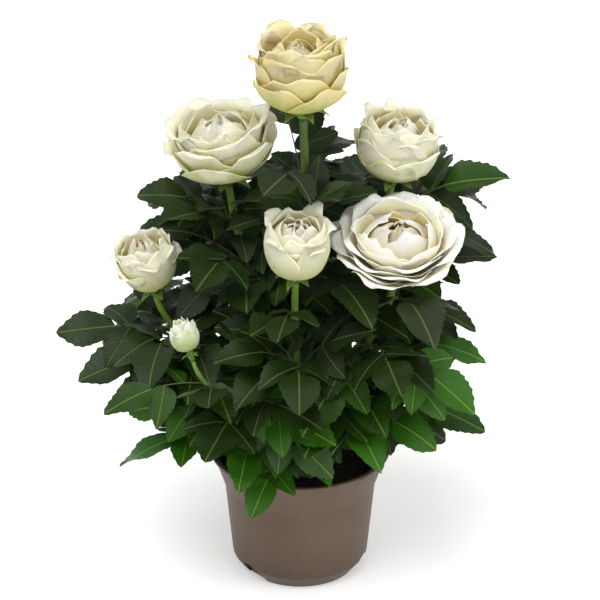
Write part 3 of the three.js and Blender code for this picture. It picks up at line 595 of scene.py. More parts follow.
# "stand" holds, for shares of the way in from the outermost petal to the innermost, the slope of a petal's
# midline at its base, belly, shoulder and lip, in degrees above level, where over 90 leans in and under 0
# rolls down; then its reach and top, as shares of the bloom's radius and height. "turn" is the heading of the
# first petal, "wide" half the angle that a petal wraps, "tip" and "wave" how far its point and its ripples
# stand out, and "fall" how far its corners fall below its middle.
Bloom = namedtuple("Bloom", "radius height petals turn wide tip wave fall stand")
BLOOMS = {
    "top": Bloom(37.5, 57, 36, 300, 72, 0.03, 0.04, 0.48, {
        0: (-10, 42, 84, 30, 1.0, 0.4),
        0.1: (-8, 56, 90, 30, 0.99, 0.56),
        0.22: (-2, 70, 95, 40, 0.97, 0.74),
        0.38: (6, 78, 96, 30, 0.93, 0.87),
        0.5: (20, 80, 96, 50, 0.84, 0.94),
        0.62: (30, 82, 100, 90, 0.68, 0.9),
        0.74: (38, 84, 110, 140, 0.52, 0.86),
        0.86: (44, 86, 116, 156, 0.34, 0.82),
        1: (54, 88, 114, 160, 0.15, 0.72),
    }),
    "left": Bloom(41.5, 47, 36, 262, 68, 0.16, 0.05, 0.46, {
        0: (-14, 34, 76, 0, 1.0, 0.48),
        0.1: (-12, 40, 78, -14, 1.0, 0.66),
        0.24: (-6, 54, 82, -10, 0.97, 0.87),
        0.36: (10, 70, 88, 30, 0.88, 0.96),
        0.5: (22, 78, 98, 70, 0.74, 1.0),
        0.62: (32, 82, 110, 140, 0.6, 0.97),
        0.8: (42, 85, 116, 156, 0.38, 0.93),
        1: (54, 88, 114, 160, 0.15, 0.82),
    }),
    "right": Bloom(34, 48, 34, 258, 64, 0.04, 0.04, 0.46, {
        0: (-6, 60, 88, 20, 1.0, 0.48),
        0.12: (-4, 70, 95, 30, 0.99, 0.64),
        0.26: (0, 76, 100, 44, 0.96, 0.82),
        0.4: (10, 78, 100, 50, 0.9, 0.95),
        0.54: (24, 80, 100, 80, 0.74, 0.97),
        0.68: (36, 84, 112, 140, 0.56, 0.88),
        0.84: (44, 86, 116, 156, 0.34, 0.84),
        1: (54, 88, 114, 160, 0.15, 0.74),
    }),
    "open": Bloom(48, 38, 38, 256, 52, 0.07, 0.05, 0.42, {
        0: (-12, 30, 58, -6, 1.0, 0.5),
        0.16: (-9, 34, 60, 4, 0.98, 0.6),
        0.32: (-6, 42, 64, 14, 0.92, 0.71),
        0.46: (4, 52, 72, 28, 0.84, 0.82),
        0.58: (14, 62, 82, 48, 0.74, 0.93),
        0.68: (24, 74, 94, 96, 0.62, 0.97),
        0.78: (34, 82, 112, 150, 0.5, 0.92),
        0.9: (44, 86, 119, 164, 0.34, 0.88),
        1: (54, 88, 118, 164, 0.16, 0.74),
    }),
    "centre": Bloom(26, 44, 24, 318, 70, 0.1, 0.05, 0.46, {
        0: (-6, 64, 88, -40, 1.0, 0.74),
        0.14: (-5, 68, 94, -30, 1.0, 0.92),
        0.28: (4, 76, 104, 60, 0.92, 1.0),
        0.6: (20, 82, 112, 120, 0.7, 0.98),
        0.8: (36, 84, 114, 150, 0.44, 0.93),
        1: (54, 88, 112, 158, 0.18, 0.84),
    }),
    "side": Bloom(26, 39, 26, 230, 60, 0.06, 0.07, 0.5, {
        0: (-8, 58, 76, -16, 1.0, 0.6),
        0.16: (-5, 66, 88, 10, 0.98, 0.8),
        0.36: (4, 74, 98, 40, 0.9, 0.95),
        0.56: (18, 80, 102, 90, 0.74, 1.0),
        0.78: (36, 84, 114, 150, 0.46, 0.96),
        1: (54, 88, 112, 158, 0.18, 0.96),
    }),
    "bud": Bloom(11, 23, 14, 262, 76, 0.06, 0.04, 0.36, {
        0: (10, 72, 100, 60, 1.0, 0.72),
        0.3: (16, 78, 104, 80, 0.98, 0.9),
        0.6: (24, 82, 108, 92, 0.8, 1.0),
        1: (40, 86, 106, 96, 0.4, 0.98),
    }),
}
PETAL_LUCK = {"belly": 2, "lip": 14, "turn": 9, "wide": 0.1, "fall": 0.15, "aside": 0.08}
LOWEST_TOP = 0.95  # the least share of its height that a petal comes to
SLOPE_AT = (0, 0.36, 0.9, 1)  # how far up a petal its midline comes to each of its slopes
GIRTH = {0: 0.35, 0.25: 0.85, 0.6: 1.0, 0.85: 0.94, 1: 0.84}  # how wide a petal is, by how far up
HEART = {"least": 0.012, "steep": 0.04, "raised": 0.05}  # how near the axis petals come, and how they end
MAP_HALF, MAP_RIM = 0.42, 1.1  # how far a shell's face fills its half of its square, and its border strip


def shells(sheets, thick):
    """Thin closed shells from sheets of points, an array of [sheet, row, column, xyz]. Each sheet's two
    faces lie half the thickness to either side of it, and a strip round its border joins them. Each shell
    also gets a square of a flat map, with its faces side by side and the strip round the first of them."""
    count, rows, columns = sheets.shape[:3]
    down = np.gradient(sheets, axis=1)
    across = np.gradient(sheets, axis=2)
    normal = np.cross(across, down)
    normal /= np.maximum(np.linalg.norm(normal, axis=-1, keepdims=True), 1e-9)
    points = np.stack([sheets + normal * thick / 2, sheets - normal * thick / 2], 1)
    area = rows * columns
    front = grid_faces(rows, columns)
    index = np.arange(area).reshape(rows, columns)
    border = np.concatenate([index[0, :-1], index[:-1, -1], index[-1, :0:-1], index[:0:-1, 0]])
    after = np.roll(border, -1)
    strip = np.stack([after, border, border + area, after + area], -1)
    one = np.concatenate([front, front[:, ::-1] + area, strip])
    across, up = np.meshgrid(*(np.linspace(-MAP_HALF, MAP_HALF, steps) for steps in (columns, rows)))
    flat = np.stack([across, up], -1).reshape(-1, 2)
    rim = np.stack([flat[after], flat[border], flat[border] * MAP_RIM, flat[after] * MAP_RIM], 1)
    laid = np.concatenate([flat[front], flat[front[:, ::-1]] + [1, 0], rim]) * [0.5, 1] + [0.25, 0.5]
    squares = math.ceil(math.sqrt(count))
    square = np.stack([np.arange(count) % squares, np.arange(count) // squares], -1)[:, None, None]
    laid = ((laid[None] + square) / squares).reshape(-1, 2)
    return points.reshape(-1, 3), repeated(one, 2 * area, count), laid


def lucky(draw, kind, middle, shape):
    """Random numbers that stray from a middle by no more than the petals' luck of a kind."""
    return draw.uniform(middle - PETAL_LUCK[kind], middle + PETAL_LUCK[kind], shape)


def petal_midlines(shape, inward, draw):
    """Each petal's midline, as the radius and height of its rows. The slope is interpolated from base to lip
    and summed into radius and height, which are scaled to the petal's reach and top."""
    count = len(inward)
    keys, table = list(shape.stand), np.array(list(shape.stand.values()), float)
    base, belly, shoulder, lip, reach, top = (np.interp(inward, keys, row)[:, None] for row in table.T)
    belly = belly + lucky(draw, "belly", 0, (count, 1))
    lip = lip + lucky(draw, "lip", 0, (count, 1))
    top = top * draw.uniform(LOWEST_TOP, 1.0, (count, 1))
    reach = np.minimum(reach, 1 - PETAL_GAP / shape.radius * np.arange(count)[:, None])

    v = np.linspace(0, 1, PETAL_ROWS)[None]
    slopes = [base, belly, shoulder, lip]
    slope = np.broadcast_to(base, (count, PETAL_ROWS)).copy()
    for i in range(3):
        step = np.clip((v - SLOPE_AT[i]) / (SLOPE_AT[i + 1] - SLOPE_AT[i]), 0, 1)
        slope = slope + (slopes[i + 1] - slopes[i]) * step * step * (3 - 2 * step)
    slope = np.radians(slope)
    claw = 0.1 - 0.04 * inward[:, None]
    radius = np.cumsum(np.cos(slope), 1) - np.cos(slope[:, :1])
    radius = claw + (reach - claw) * radius / radius.max(1, keepdims=True)
    height = np.cumsum(np.sin(slope) * (radius > HEART["steep"]), 1) - np.sin(slope[:, :1])
    height = height / height.max(1, keepdims=True)
    raised = HEART["raised"] * inward[:, None]
    height = shape.height * (raised + (top - raised) * height)
    return shape.radius * np.maximum(radius, HEART["least"]), height


def petal_sheets(bloom, seed):
    """The petals of a bloom as sheets. Across its midline, each sheet is wrapped round the axis: narrow at
    the claw, rounded to a blunt point at the top, lifted off its neighbour on one hand, with the edges
    rolled out and a ripple that grows towards the lip."""
    shape = BLOOMS[bloom]
    draw = np.random.default_rng(seed)
    count = shape.petals
    inward = np.arange(count) / (count - 1)
    radius, height = petal_midlines(shape, inward, draw)

    each = (count, 1, 1)
    who, deep = np.arange(count).reshape(each), inward.reshape(each)
    calm = 1 - 0.6 * deep
    u = np.linspace(-1, 1, PETAL_COLUMNS)[None, None]
    v = np.linspace(0, 1, PETAL_ROWS)[None, :, None]
    fall = np.interp(inward, [0, 0.3, 1], [shape.fall, shape.fall * 0.8, 0.18]).reshape(each)
    blunt = 1 - fall * lucky(draw, "fall", 1, each) * np.abs(u) ** 2.1
    nibble = draw.uniform(0, 2 * np.pi, (2, *each))
    blunt = blunt + 0.028 * np.sin(6 * u + nibble[0]) + 0.015 * np.sin(14 * u + nibble[1])
    point = shape.tip * (1 - np.abs(u)) ** 3 * v**5 * calm
    along = np.clip(v * (blunt - 0.043) + point, 0, 1.0)
    place = along * (PETAL_ROWS - 1)
    low = np.clip(place.astype(int), 0, PETAL_ROWS - 2)
    share = place - low
    r = radius[who, low] * (1 - share) + radius[who, low + 1] * share
    z = height[who, low] * (1 - share) + height[who, low + 1] * share

    girth = np.interp(v, list(GIRTH), list(GIRTH.values()))
    wide = shape.wide * lucky(draw, "wide", 1, each) * (1 + 0.5 * deep)
    angle = np.radians(shape.turn + GOLDEN * who + lucky(draw, "turn", 0, each) + u * wide * girth)
    phase = draw.uniform(0, 2 * np.pi, (2, *each))
    ripple_u = np.sin(u * draw.uniform(2.0, 4.5, each) * 1.6 + phase[0]) * v**3 * along**2
    ripple_z = np.sin(u * draw.uniform(2.5, 5.5, each) * 1.4 + phase[1]) * v**4
    ripple_z = ripple_z + 0.45 * np.sin(u * draw.uniform(9, 13, each) + phase[0]) * v**8
    rolled = 0.04 * v**8 * along**2 * calm
    r = np.minimum(r * (1 + 0.012 * u * v + rolled + shape.wave * 0.6 * ripple_u), shape.radius * 1.03)
    z = z + shape.wave * shape.height * ripple_z
    aside = lucky(draw, "aside", 0, (2, *each)) * shape.radius * deep**2 * along**3
    sheets = np.stack([r * np.cos(angle) + aside[0], r * np.sin(angle) + aside[1], z], -1)
    uv = np.stack(np.broadcast_arrays(0.5 + 0.5 * u * girth, along), -1)
    return sheets, uv, inward


def flower_frame(cane, above):
    """The turn that takes +Z to a flower's axis by the shortest way, and the place above the cane's tip."""
    axis = axis_of(cane)
    x, y, z = axis
    cross = np.array([[0, 0, x], [0, 0, y], [-x, -y, 0]])
    turn = np.eye(3) + cross + cross @ cross / (1 + z)
    return turn, np.array(CANES[cane].head, float) + axis * above


PETAL_GLOW = {"subsurface_weight": 0.55, "subsurface_radius": (1.0, 0.9, 0.55), "subsurface_scale": 0.004}
GUARD_GREEN, BRUISE = srgb(168, 190, 92), srgb(150, 112, 58)


def petal_paint(name, lip, body, base, warm_heart_and_shade, brown):
    """Petal: its colour runs from the base to the lip and warms towards the heart, with fine veins along
    it, green patches on the outermost petals and bruises on its edge. The warmth in the depths and
    creases is partly painted shade."""
    material, place = new_paint(name, "petal")
    along = place.parts("Y")[0]
    inward, solid = place.marked("inward"), place.solid()
    veins = place.stretched(26, 1.2, 1).speckle(1.6, 4, 0.55)
    cloud = solid.speckle(70, 3)
    colour = along.rise(0.0, 0.8).blend(base, body)
    colour = (along + cloud * 0.2 - 0.1).rise(0.6, 1.0).blend(colour, lip)
    # Amber low in the inner petals and over the heart: partly the rose's own warm heart, partly painted warm
    # shade in the depths and creases.
    colour = (inward.rise(0.35, 0.9) * (1 - along.rise(0.4, 0.95))).blend(colour, warm_heart_and_shade)
    colour = (inward.rise(0.78, 1.0) * 0.6).blend(colour, warm_heart_and_shade)
    colour = (veins.rise(0.5, 0.8) * 0.14).blend(colour, base)
    guard = (0.16 - inward).rise(0.0, 0.16) * (cloud * 0.85 + veins * 0.15).rise(0.42, 0.66)
    colour = (guard * 0.75).blend(colour, GUARD_GREEN)
    edge = (along + solid.speckle(260, 3) * 0.05).rise(0.985, 1.03)
    colour = (edge * brown).blend(colour, BRUISE)
    height = veins * 0.7 + solid.speckle(500, 2) * 0.3
    return shade(material, colour, 0.5 + veins * 0.15, height, 0.0004, specular_ior_level=0.3, **PETAL_GLOW)


PETAL_PAINTS = {  # the colours of the lip, body, base and depths, the last partly painted warm shade, and how brown the edge is bruised
    "cream": (srgb(232, 217, 166), srgb(222, 202, 130), srgb(190, 182, 84), srgb(214, 150, 58), 0.8),
    "ivory": (srgb(245, 242, 216), srgb(240, 235, 186), srgb(208, 212, 118), srgb(222, 176, 84), 0.25),
    "white": (srgb(251, 249, 238), srgb(248, 244, 218), srgb(228, 226, 158), srgb(230, 206, 112), 0.1),
    "pale_green": (srgb(240, 242, 220), srgb(228, 236, 190), srgb(176, 196, 104), srgb(204, 216, 140), 0.1),
}
WORN = {"top": "cream", "open": "white", "bud": "pale_green"}  # the other blooms are ivory
petal_paints = {name: petal_paint(f"petal_{name}", *colours) for name, colours in PETAL_PAINTS.items()}

for number, bloom in enumerate(BLOOMS):
    sheets, uv, inward = petal_sheets(bloom, 70 + number)
    turn, foot = flower_frame(bloom, AIR + HIP_HEIGHT + AIR)
    points, faces, laid = shells(sheets, PETAL_THICK)
    paint = petal_paints[WORN.get(bloom, "ivory")]
    maps = {"petal": np.repeat(uv[:, None], 2, 1).reshape(-1, 2), "OFBake": laid}
    layers = {"inward": np.repeat(inward, 2 * PETAL_ROWS * PETAL_COLUMNS)}
    flower = make_piece(f"rose_{bloom}", points @ turn.T + foot, faces, paint, uv=maps, layers=layers)
    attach(flower, "root")
    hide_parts(f"bloom_{bloom}")

# ------------------------------------------------------------------ hips and sepals
# Under each flower the cane swells into a smooth green hip, and five narrow sepals spread from its
# shoulder and bend down as the flower opens.
HIP = {"waist": 1.15, "shoulder": 1.9, "corner": 1.6, "sides": 28}
SEPALS = {"count": 5, "longest": 26, "reach": 0.75, "wide": 0.32, "climb": 0.1, "thick": 0.5, "turn": -222}
SEPAL_ROWS, SEPAL_COLUMNS = 15, 5


def sepal_length(bloom):
    """A flower's sepals are as long as a share of its radius, up to a longest."""
    return min(SEPALS["longest"], BLOOMS[bloom].radius * SEPALS["reach"])


sepal_green, place = new_paint("sepal_green", "petal")
ribs = place.stretched(14, 1, 1).speckle(1.5, 3)
sepal_tone = (place.solid().speckle(120, 3) * 0.6 + ribs * 0.4).rise(0.3, 0.7)
sepal_colour = sepal_tone.blend(srgb(84, 118, 44), srgb(138, 166, 84))
shade(sepal_green, sepal_colour, 0.55, ribs, 0.0004, subsurface_weight=0.1, subsurface_scale=0.002)
hip_green, place = new_paint("hip_green")
hip_colour = place.speckle(160, 3).rise(0.3, 0.7).blend(srgb(78, 118, 38), srgb(112, 152, 62))
shade(hip_green, hip_colour, 0.4, place.speckle(900, 3), 0.0002)

for number, bloom in enumerate(BLOOMS):
    thin = CANES[bloom].thin
    turn, foot = flower_frame(bloom, AIR)
    shoulder = thin * HIP["shoulder"]
    profile = [(0, 0), (thin * HIP["waist"], 0), (shoulder, HIP_HEIGHT * 0.55)]
    profile += [(shoulder * 0.9, HIP_HEIGHT), (0, HIP_HEIGHT)]
    points, faces = turned(rounded(profile, HIP["corner"], 6), HIP["sides"])
    hip = make_piece(f"hip_{bloom}", points @ turn.T + foot, faces, hip_green)

    length = sepal_length(bloom)
    draw = np.random.default_rng(90 + number)
    count = SEPALS["count"]
    heading = BLOOMS[bloom].turn + SEPALS["turn"] + 360 / count * np.arange(count)
    heading = np.radians(heading)[:, None, None]
    s = np.linspace(0, 1, SEPAL_ROWS)[None, :, None]
    u = np.linspace(-1, 1, SEPAL_COLUMNS)[None, None]
    wide = length * SEPALS["wide"] / 2 * np.sin(np.pi * (0.12 + 0.88 * s) ** 0.72) ** 0.9 * (1 - 0.35 * s)
    out = thin * 1.2 + length * s * (0.74 - 0.14 * s)
    drop = draw.uniform(0.1, 0.35, (count, 1, 1)) * length * s**2
    high = HIP_HEIGHT * 0.62 + length * SEPALS["climb"] * s - drop + 0.25 * np.abs(u) * wide
    beside = u * wide + draw.uniform(-2, 2, (count, 1, 1)) * s**2
    east = out * np.cos(heading) - beside * np.sin(heading)
    north = out * np.sin(heading) + beside * np.cos(heading)
    sheet = np.stack(np.broadcast_arrays(east, north, high), -1)
    points, faces, laid = shells(sheet, SEPALS["thick"])
    uv = np.stack(np.broadcast_arrays(0.5 + 0.5 * u, s), -1)
    uv = np.broadcast_to(uv[:, None], (count, 2, SEPAL_ROWS, SEPAL_COLUMNS, 2)).reshape(-1, 2)
    maps = {"petal": uv, "OFBake": laid}
    sepals = make_piece(f"sepals_{bloom}", points @ turn.T + foot, faces, sepal_green, uv=maps)
    for piece in (hip, sepals):
        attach(piece, "root")
    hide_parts(f"calyx_{bloom}")

# ------------------------------------------------------------------ where the leaves grow
# Rose leaves are compound: a stalk with two pairs of leaflets and one at its end. They stand down leafy
# side shoots in turn, take the first heading with room, and face the light.
# Each shoot: its cane and how far up it, where the tip of its end leaf reaches, how many leaves it has, their
# size and tint, and the seed of its choices.
Shoot = namedtuple("Shoot", "cane at tip leaves size tint seed")
SHOOTS = {
    "crest": Shoot("top", 0.74, (-14, 68, 328), 4, 0.72, "dark", 1),
    "crest_front": Shoot("top", 0.66, (20, -44, 303), 4, 0.66, "dark", 315),
    "left_top": Shoot("left", 0.83, (-100, 2, 285), 4, 0.7, "dark", 460),
    "left_high": Shoot("left", 0.62, (-112, 23, 246), 4, 0.86, "dark", 4),
    "left_back": Shoot("left", 0.37, (-79, 113, 253), 4, 0.86, "dark", 5),
    "right_top": Shoot("right", 0.83, (128, 9, 293), 4, 0.92, "dark", 95),
    "right_high": Shoot("right", 0.56, (136, 42, 220), 4, 0.86, "dark", 34),
    "right_back": Shoot("right", 0.48, (63, 123, 270), 4, 0.92, "dark", 8),
    "right_mid": Shoot("open", 0.47, (127, -20, 176), 4, 0.81, "mid", 9),
    "right_low": Shoot("open", 0.28, (132, -40, 121), 4, 0.84, "mid", 799),
    "rim_right": Shoot("open", 0.18, (91, -65, 127), 4, 0.72, "bright", 817),
    "front_high": Shoot("left", 0.7, (-68, -72, 248), 4, 0.78, "dark", 573),
    "front_right": Shoot("open", 0.57, (66, -118, 191), 4, 0.8, "mid", 609),
    "front_mid": Shoot("centre", 0.48, (0, -131, 193), 5, 0.8, "dark", 14),
    "left_out": Shoot("side", 0.67, (-167, -14, 187), 4, 0.84, "dark", 452),
    "left_mid": Shoot("side", 0.42, (-150, -39, 166), 4, 0.84, "mid", 442),
    "left_low": Shoot("side", 0.24, (-129, -1, 132), 4, 0.84, "mid", 714),
    "rim_left": Shoot("bud", 0.2, (-127, -62, 108), 2, 0.84, "bright", 517),
    "front_left": Shoot("bud", 0.5, (-62, -132, 150), 4, 0.76, "mid", 19),
    "front_low": Shoot("centre", 0.11, (-35, -93, 81), 4, 0.62, "bright", 847),
    "back_high": Shoot("top", 0.44, (23, 131, 224), 4, 0.95, "dark", 171),
    "back_left": Shoot("left", 0.19, (-130, 105, 154), 4, 0.95, "mid", 22),
    "back_right": Shoot("right", 0.2, (106, 103, 162), 4, 0.99, "mid", 188),
    "back_low": Shoot("top", 0.16, (4, 140, 139), 4, 0.9, "mid", 24),
}
RIM_LOWEST = {"front_low": 76}  # shoots whose leaves may hang over the pot's rim
SHOOT = {"radius": 1.7, "taper": 0.45, "rise": 0.12, "bare": 7, "shortest": 11}
LEAF = {"stalk": 60, "clear": 0.15, "droop": 0.22, "fold": 0.2, "curl": 0.16, "sag": 44}
KEEL = 1.8  # how far under a leaflet's middle its room reaches
END_LEAFLET = {"turn": 0, "length": 50, "width": 36}
PAIRS = [
    {"at": 0.41, "turn": 75, "length": 29, "width": 20},
    {"at": 0.76, "turn": 62, "length": 40, "width": 27},
]
RIM_SHAPE = ((0.26, 0.88), (0.62, 0.82))  # a coarse edge's corners: how far along, and out to the side
TRIES = 10  # headings for each leaf
LEAST_LEAFLETS = 3
CLEAR = 1.2  # between leaves, and from leaves to canes
POT_ROOM = 3
BLOOM_ROOM = (3, 6)  # round a bloom's side, and over and under it
LOWEST = 104
LIGHT = np.array([0, -0.45, 1.0])
MARKS = 40  # places down each cane that leaves keep clear of
RIM = {"height": 94, "radius": 65, "collar": 55}
CHOICES = {  # each kind's first number, and the range that its choices fall in
    "size": (40, 0.8, 1.1),
    "heading": (100, 28, 112),
    "lift": (300, -30, 30),
    "roll": (500, -22, 22),
    "cane_climb": (100, 8, 50),
    "cane_size": (900, 0.62, 0.92),
    "cane_roll": (1700, -40, 40),
}
END_STEP = {"heading": 9, "lift": 3}  # how far an end leaf moves aside and up to try again, in degrees
SEPAL_HEADINGS = {"top": 20, "left": 52, "right": 0, "open": 35, "centre": 10, "side": 60, "bud": 15}


def chance(seed, n):
    """A repeatable number from 0 to 1 for the nth choice of a seed: the fraction of a large sine."""
    x = math.sin(seed * 12.9898 + n * 78.233) * 43758.5453
    return x - math.floor(x)


def picked(seed, kind, n):
    """The nth choice of a kind for a seed, spread evenly over the kind's range."""
    first, low, high = CHOICES[kind]
    return low + (high - low) * chance(seed, first + n)


def square_to(vector, way):
    """The part of a vector that stands square to a way, at length 1."""
    return unit(vector - way * (vector @ way))


def spun(vector, axis, degrees):
    """A vector turned about an axis, by Rodrigues' sum of its parts along, square to and across the axis."""
    angle = math.radians(degrees)
    across = vector * math.cos(angle) + np.cross(axis, vector) * math.sin(angle)
    return across + axis * (axis @ vector) * (1 - math.cos(angle))


def blade_at(root, along, facing, length, width, curl):
    """A leaflet as its place and size, with the corners of its coarse outline: two on each edge lifted by
    the fold, the tip sunk by the curl, and its middle."""
    normal = square_to(facing, along)
    side = np.cross(along, normal)

    def at(share, aside, lift):
        out = root + along * share * length + side * aside * width / 2
        return out + normal * (lift * width / 2 - curl * length * share * share)

    left = [at(share, aside, LEAF["fold"]) for share, aside in RIM_SHAPE]
    right = [at(share, -aside, LEAF["fold"]) for share, aside in reversed(RIM_SHAPE)]
    return {
        "root": root,
        "along": along,
        "side": side,
        "normal": normal,
        "length": length,
        "width": width,
        "rim": np.array([*left, at(1, 0, 0), *right]),
        "middle": at(0.45, 0, 0),
    }


def room_of(points, faces, edges):
    """A room that something takes up, with the ball round it that tells which rooms are near."""
    centre = points.mean(0)
    reach = np.linalg.norm(points - centre, axis=1).max()
    return {"points": points, "faces": faces, "edges": edges, "centre": centre, "reach": reach}


def room_of_blade(blade):
    """What a leaflet takes up: its face, a keel under its middle, their edges, and points on them."""
    loop = np.concatenate([blade["root"][None], blade["rim"]])
    after = np.roll(loop, -1, 0)
    middle = np.broadcast_to(blade["middle"], loop.shape)
    low = middle - blade["normal"] * KEEL
    thirds = [loop, loop + (after - loop) / 3, loop + (after - loop) * 2 / 3, (loop + middle) / 2]
    points = np.concatenate([[blade["middle"], low[0]], np.stack(thirds, 1).reshape(-1, 3)])
    faces = np.concatenate([np.stack([loop, after, middle], 1), np.stack([after, loop, low], 1)])
    edges = np.concatenate([np.stack(pair, 1) for pair in ((loop, after), (loop, middle), (loop, low))])
    return room_of(points, faces, edges)


def room_of_line(line):
    """What a stalk takes up: the edges between its points, and four places along each."""
    shares = np.array([0.25, 0.5, 0.75, 1])[None, :, None]
    between = line[:-1, None] + (line[1:] - line[:-1])[:, None] * shares
    points = np.concatenate([line[:1], between.reshape(-1, 3)])
    return room_of(points, np.zeros((0, 3, 3)), np.stack([line[:-1], line[1:]], 1))


def corners_of(faces):
    """Each triangle's first corner, and the ways from it to the others."""
    first = faces[None, :, 0]
    return first, faces[None, :, 1] - first, faces[None, :, 2] - first


def pierces(edges, faces):
    """Whether any edge goes through any face, by the crossing's place along the edge and in the face."""
    if not len(edges) or not len(faces):
        return False
    start, way = edges[:, None, 0], edges[:, None, 1] - edges[:, None, 0]
    a, ab, ac = corners_of(faces)
    h = np.cross(way, ac)
    det = (ab * h).sum(-1)
    det = np.where(np.abs(det) < 1e-9, np.inf, det)
    ap = start - a
    u = (ap * h).sum(-1) / det
    k = np.cross(ap, ab)
    v = (way * k).sum(-1) / det
    t = (ac * k).sum(-1) / det
    inside = (u >= 0) & (v >= 0) & (u + v <= 1) & (t >= 0) & (t <= 1) & np.isfinite(det)
    return bool(inside.any())


def brushes(points, faces):
    """Whether any point lies over or under a face and nearer to it than the clearance."""
    if not len(faces):
        return False
    a, ab, ac = corners_of(faces)
    normal = np.cross(ab, ac)
    area = np.linalg.norm(normal, axis=-1)
    ap = points[:, None] - a
    near = np.abs((ap * normal).sum(-1)) <= CLEAR * area
    u = (np.cross(ap, ac) * normal).sum(-1) / area**2
    v = (np.cross(ab, ap) * normal).sum(-1) / area**2
    return bool((near & (u >= 0) & (v >= 0) & (u + v <= 1)).any())


taken = []
mark_t = np.arange(MARKS + 1) / MARKS
mark_points = np.concatenate([cane_line(cane, mark_t) for cane in CANES])
mark_radii = np.concatenate([cane_radius(cane, mark_t) for cane in CANES])
heads = np.array([CANES[cane].head for cane in CANES], float)
axes = np.array([axis_of(cane) for cane in CANES])
bloom_radius = np.array([BLOOMS[cane].radius for cane in CANES])
bloom_height = np.array([BLOOMS[cane].height for cane in CANES])


def blocked(points):
    """Whether any point lies in, or too near, the pot, the soil, a cane or a flower."""
    out, z = np.hypot(points[:, 0], points[:, 1]), points[:, 2]
    over_soil = (z < SOIL["top"] + POT_ROOM) & (out < RIM["radius"] + POT_ROOM)
    inside_lip = (out > RIM["collar"] - 2 * POT_ROOM) & (out < RIM["radius"] + POT_ROOM)
    at_wall = (z < RIM["height"] + POT_ROOM) & inside_lip
    if (over_soil | at_wall).any():
        return True
    gap = np.linalg.norm(points[:, None] - mark_points[None], axis=-1)
    if (gap < mark_radii + CLEAR).any():
        return True
    from_head = points[:, None] - heads[None]
    rise = (from_head * axes).sum(-1)
    wide = np.sqrt(np.maximum(0, (from_head**2).sum(-1) - rise**2))
    middle = HIP_HEIGHT + bloom_height / 2
    up, out = (rise - middle) / (bloom_height / 2 + BLOOM_ROOM[1]), wide / (bloom_radius + BLOOM_ROOM[0])
    return bool((up**2 + out**2 < 1).any())


def fits(room, lowest):
    """Whether a leaflet or stalk has room: above the lowest height, through or by nothing taken, and clear
    of the pot, canes and flowers."""
    if (room["points"][:, 2] < lowest).any():
        return False

    def is_near(other):
        return np.linalg.norm(other["centre"] - room["centre"]) < other["reach"] + room["reach"]

    near = [other for other in taken if is_near(other)]
    if near:
        kinds = ("faces", "edges", "points")
        faces, edges, points = (np.concatenate([other[kind] for other in near]) for kind in kinds)
        if pierces(room["edges"], faces) or pierces(edges, room["faces"]):
            return False
        if brushes(room["points"], faces) or brushes(points, room["faces"]):
            return False
    return not blocked(room["points"])


def course(shoot):
    """A shoot's line as a function of 0 to 1, its length, heading and climb: straight off its cane
    towards the point that its tip is to reach, bending up a little."""
    plan = SHOOTS[shoot]
    foot = cane_line(plan.cane, plan.at)
    reach = np.array(plan.tip, float) - foot
    flat = math.hypot(reach[0], reach[1])
    rise = reach[2] + LEAF["sag"] * plan.size
    leaf = (LEAF["stalk"] + END_LEAFLET["length"]) * plan.size
    length = max(SHOOT["shortest"], math.hypot(flat, rise) - leaf)
    heading = math.degrees(math.atan2(reach[1], reach[0]))
    climb = math.degrees(math.atan2(rise, flat))
    way = climbing(heading, climb)

    def line(t):
        t = np.asarray(t, float)[..., None]
        return foot + way * length * t + UP * SHOOT["rise"] * length * t * t

    return line, length, heading, climb


def leaf_at(foot, heading, climb, size, roll):
    """A compound leaf: its stalk's line, sinking as the square of the way along it, and its leaflets."""
    way = climbing(heading, climb)
    length = LEAF["stalk"] * size

    def stalk(share):
        share = np.asarray(share, float)[..., None]
        return foot + way * length * share - UP * LEAF["droop"] * length * share * share

    facing = spun(unit(climbing(heading, 0) * 0.4 + LIGHT), way, roll)

    def leaflet(at, side, turn, length, width):
        run = unit(stalk(at + 0.01) - stalk(at - 0.01))
        normal = square_to(facing, run)
        along = unit(spun(run, normal, -side * turn) - normal * 0.1)
        return blade_at(stalk(at), along, normal, length * size, width * size, LEAF["curl"])

    leaflets = [leaflet(1, 0, **END_LEAFLET)]
    leaflets += [leaflet(side=side, **pair) for pair in PAIRS for side in (1, -1)]
    line = stalk(np.array([LEAF["clear"], *[pair["at"] for pair in PAIRS], 1]))
    return {"stalk": stalk, "line": line, "leaflets": leaflets, "size": size}


def try_leaf(leaf, lowest, least=LEAST_LEAFLETS, allowed=lambda points: True):
    """Takes the room for a leaf's stalk and for those of its leaflets that fit and are allowed. Nothing if
    too few are."""
    stem = room_of_line(leaf["line"])
    if not fits(stem, SOIL["top"]):
        return None
    rooms = [room_of_blade(blade) for blade in leaf["leaflets"]]
    kept = [allowed(room["points"]) and fits(room, lowest) for room in rooms]
    if not kept[0] or sum(kept) < least:
        return None
    taken.append(stem)
    taken.extend(room for room, keep in zip(rooms, kept) if keep)
    leaf["leaflets"] = [blade for blade, keep in zip(leaf["leaflets"], kept) if keep]
    return leaf


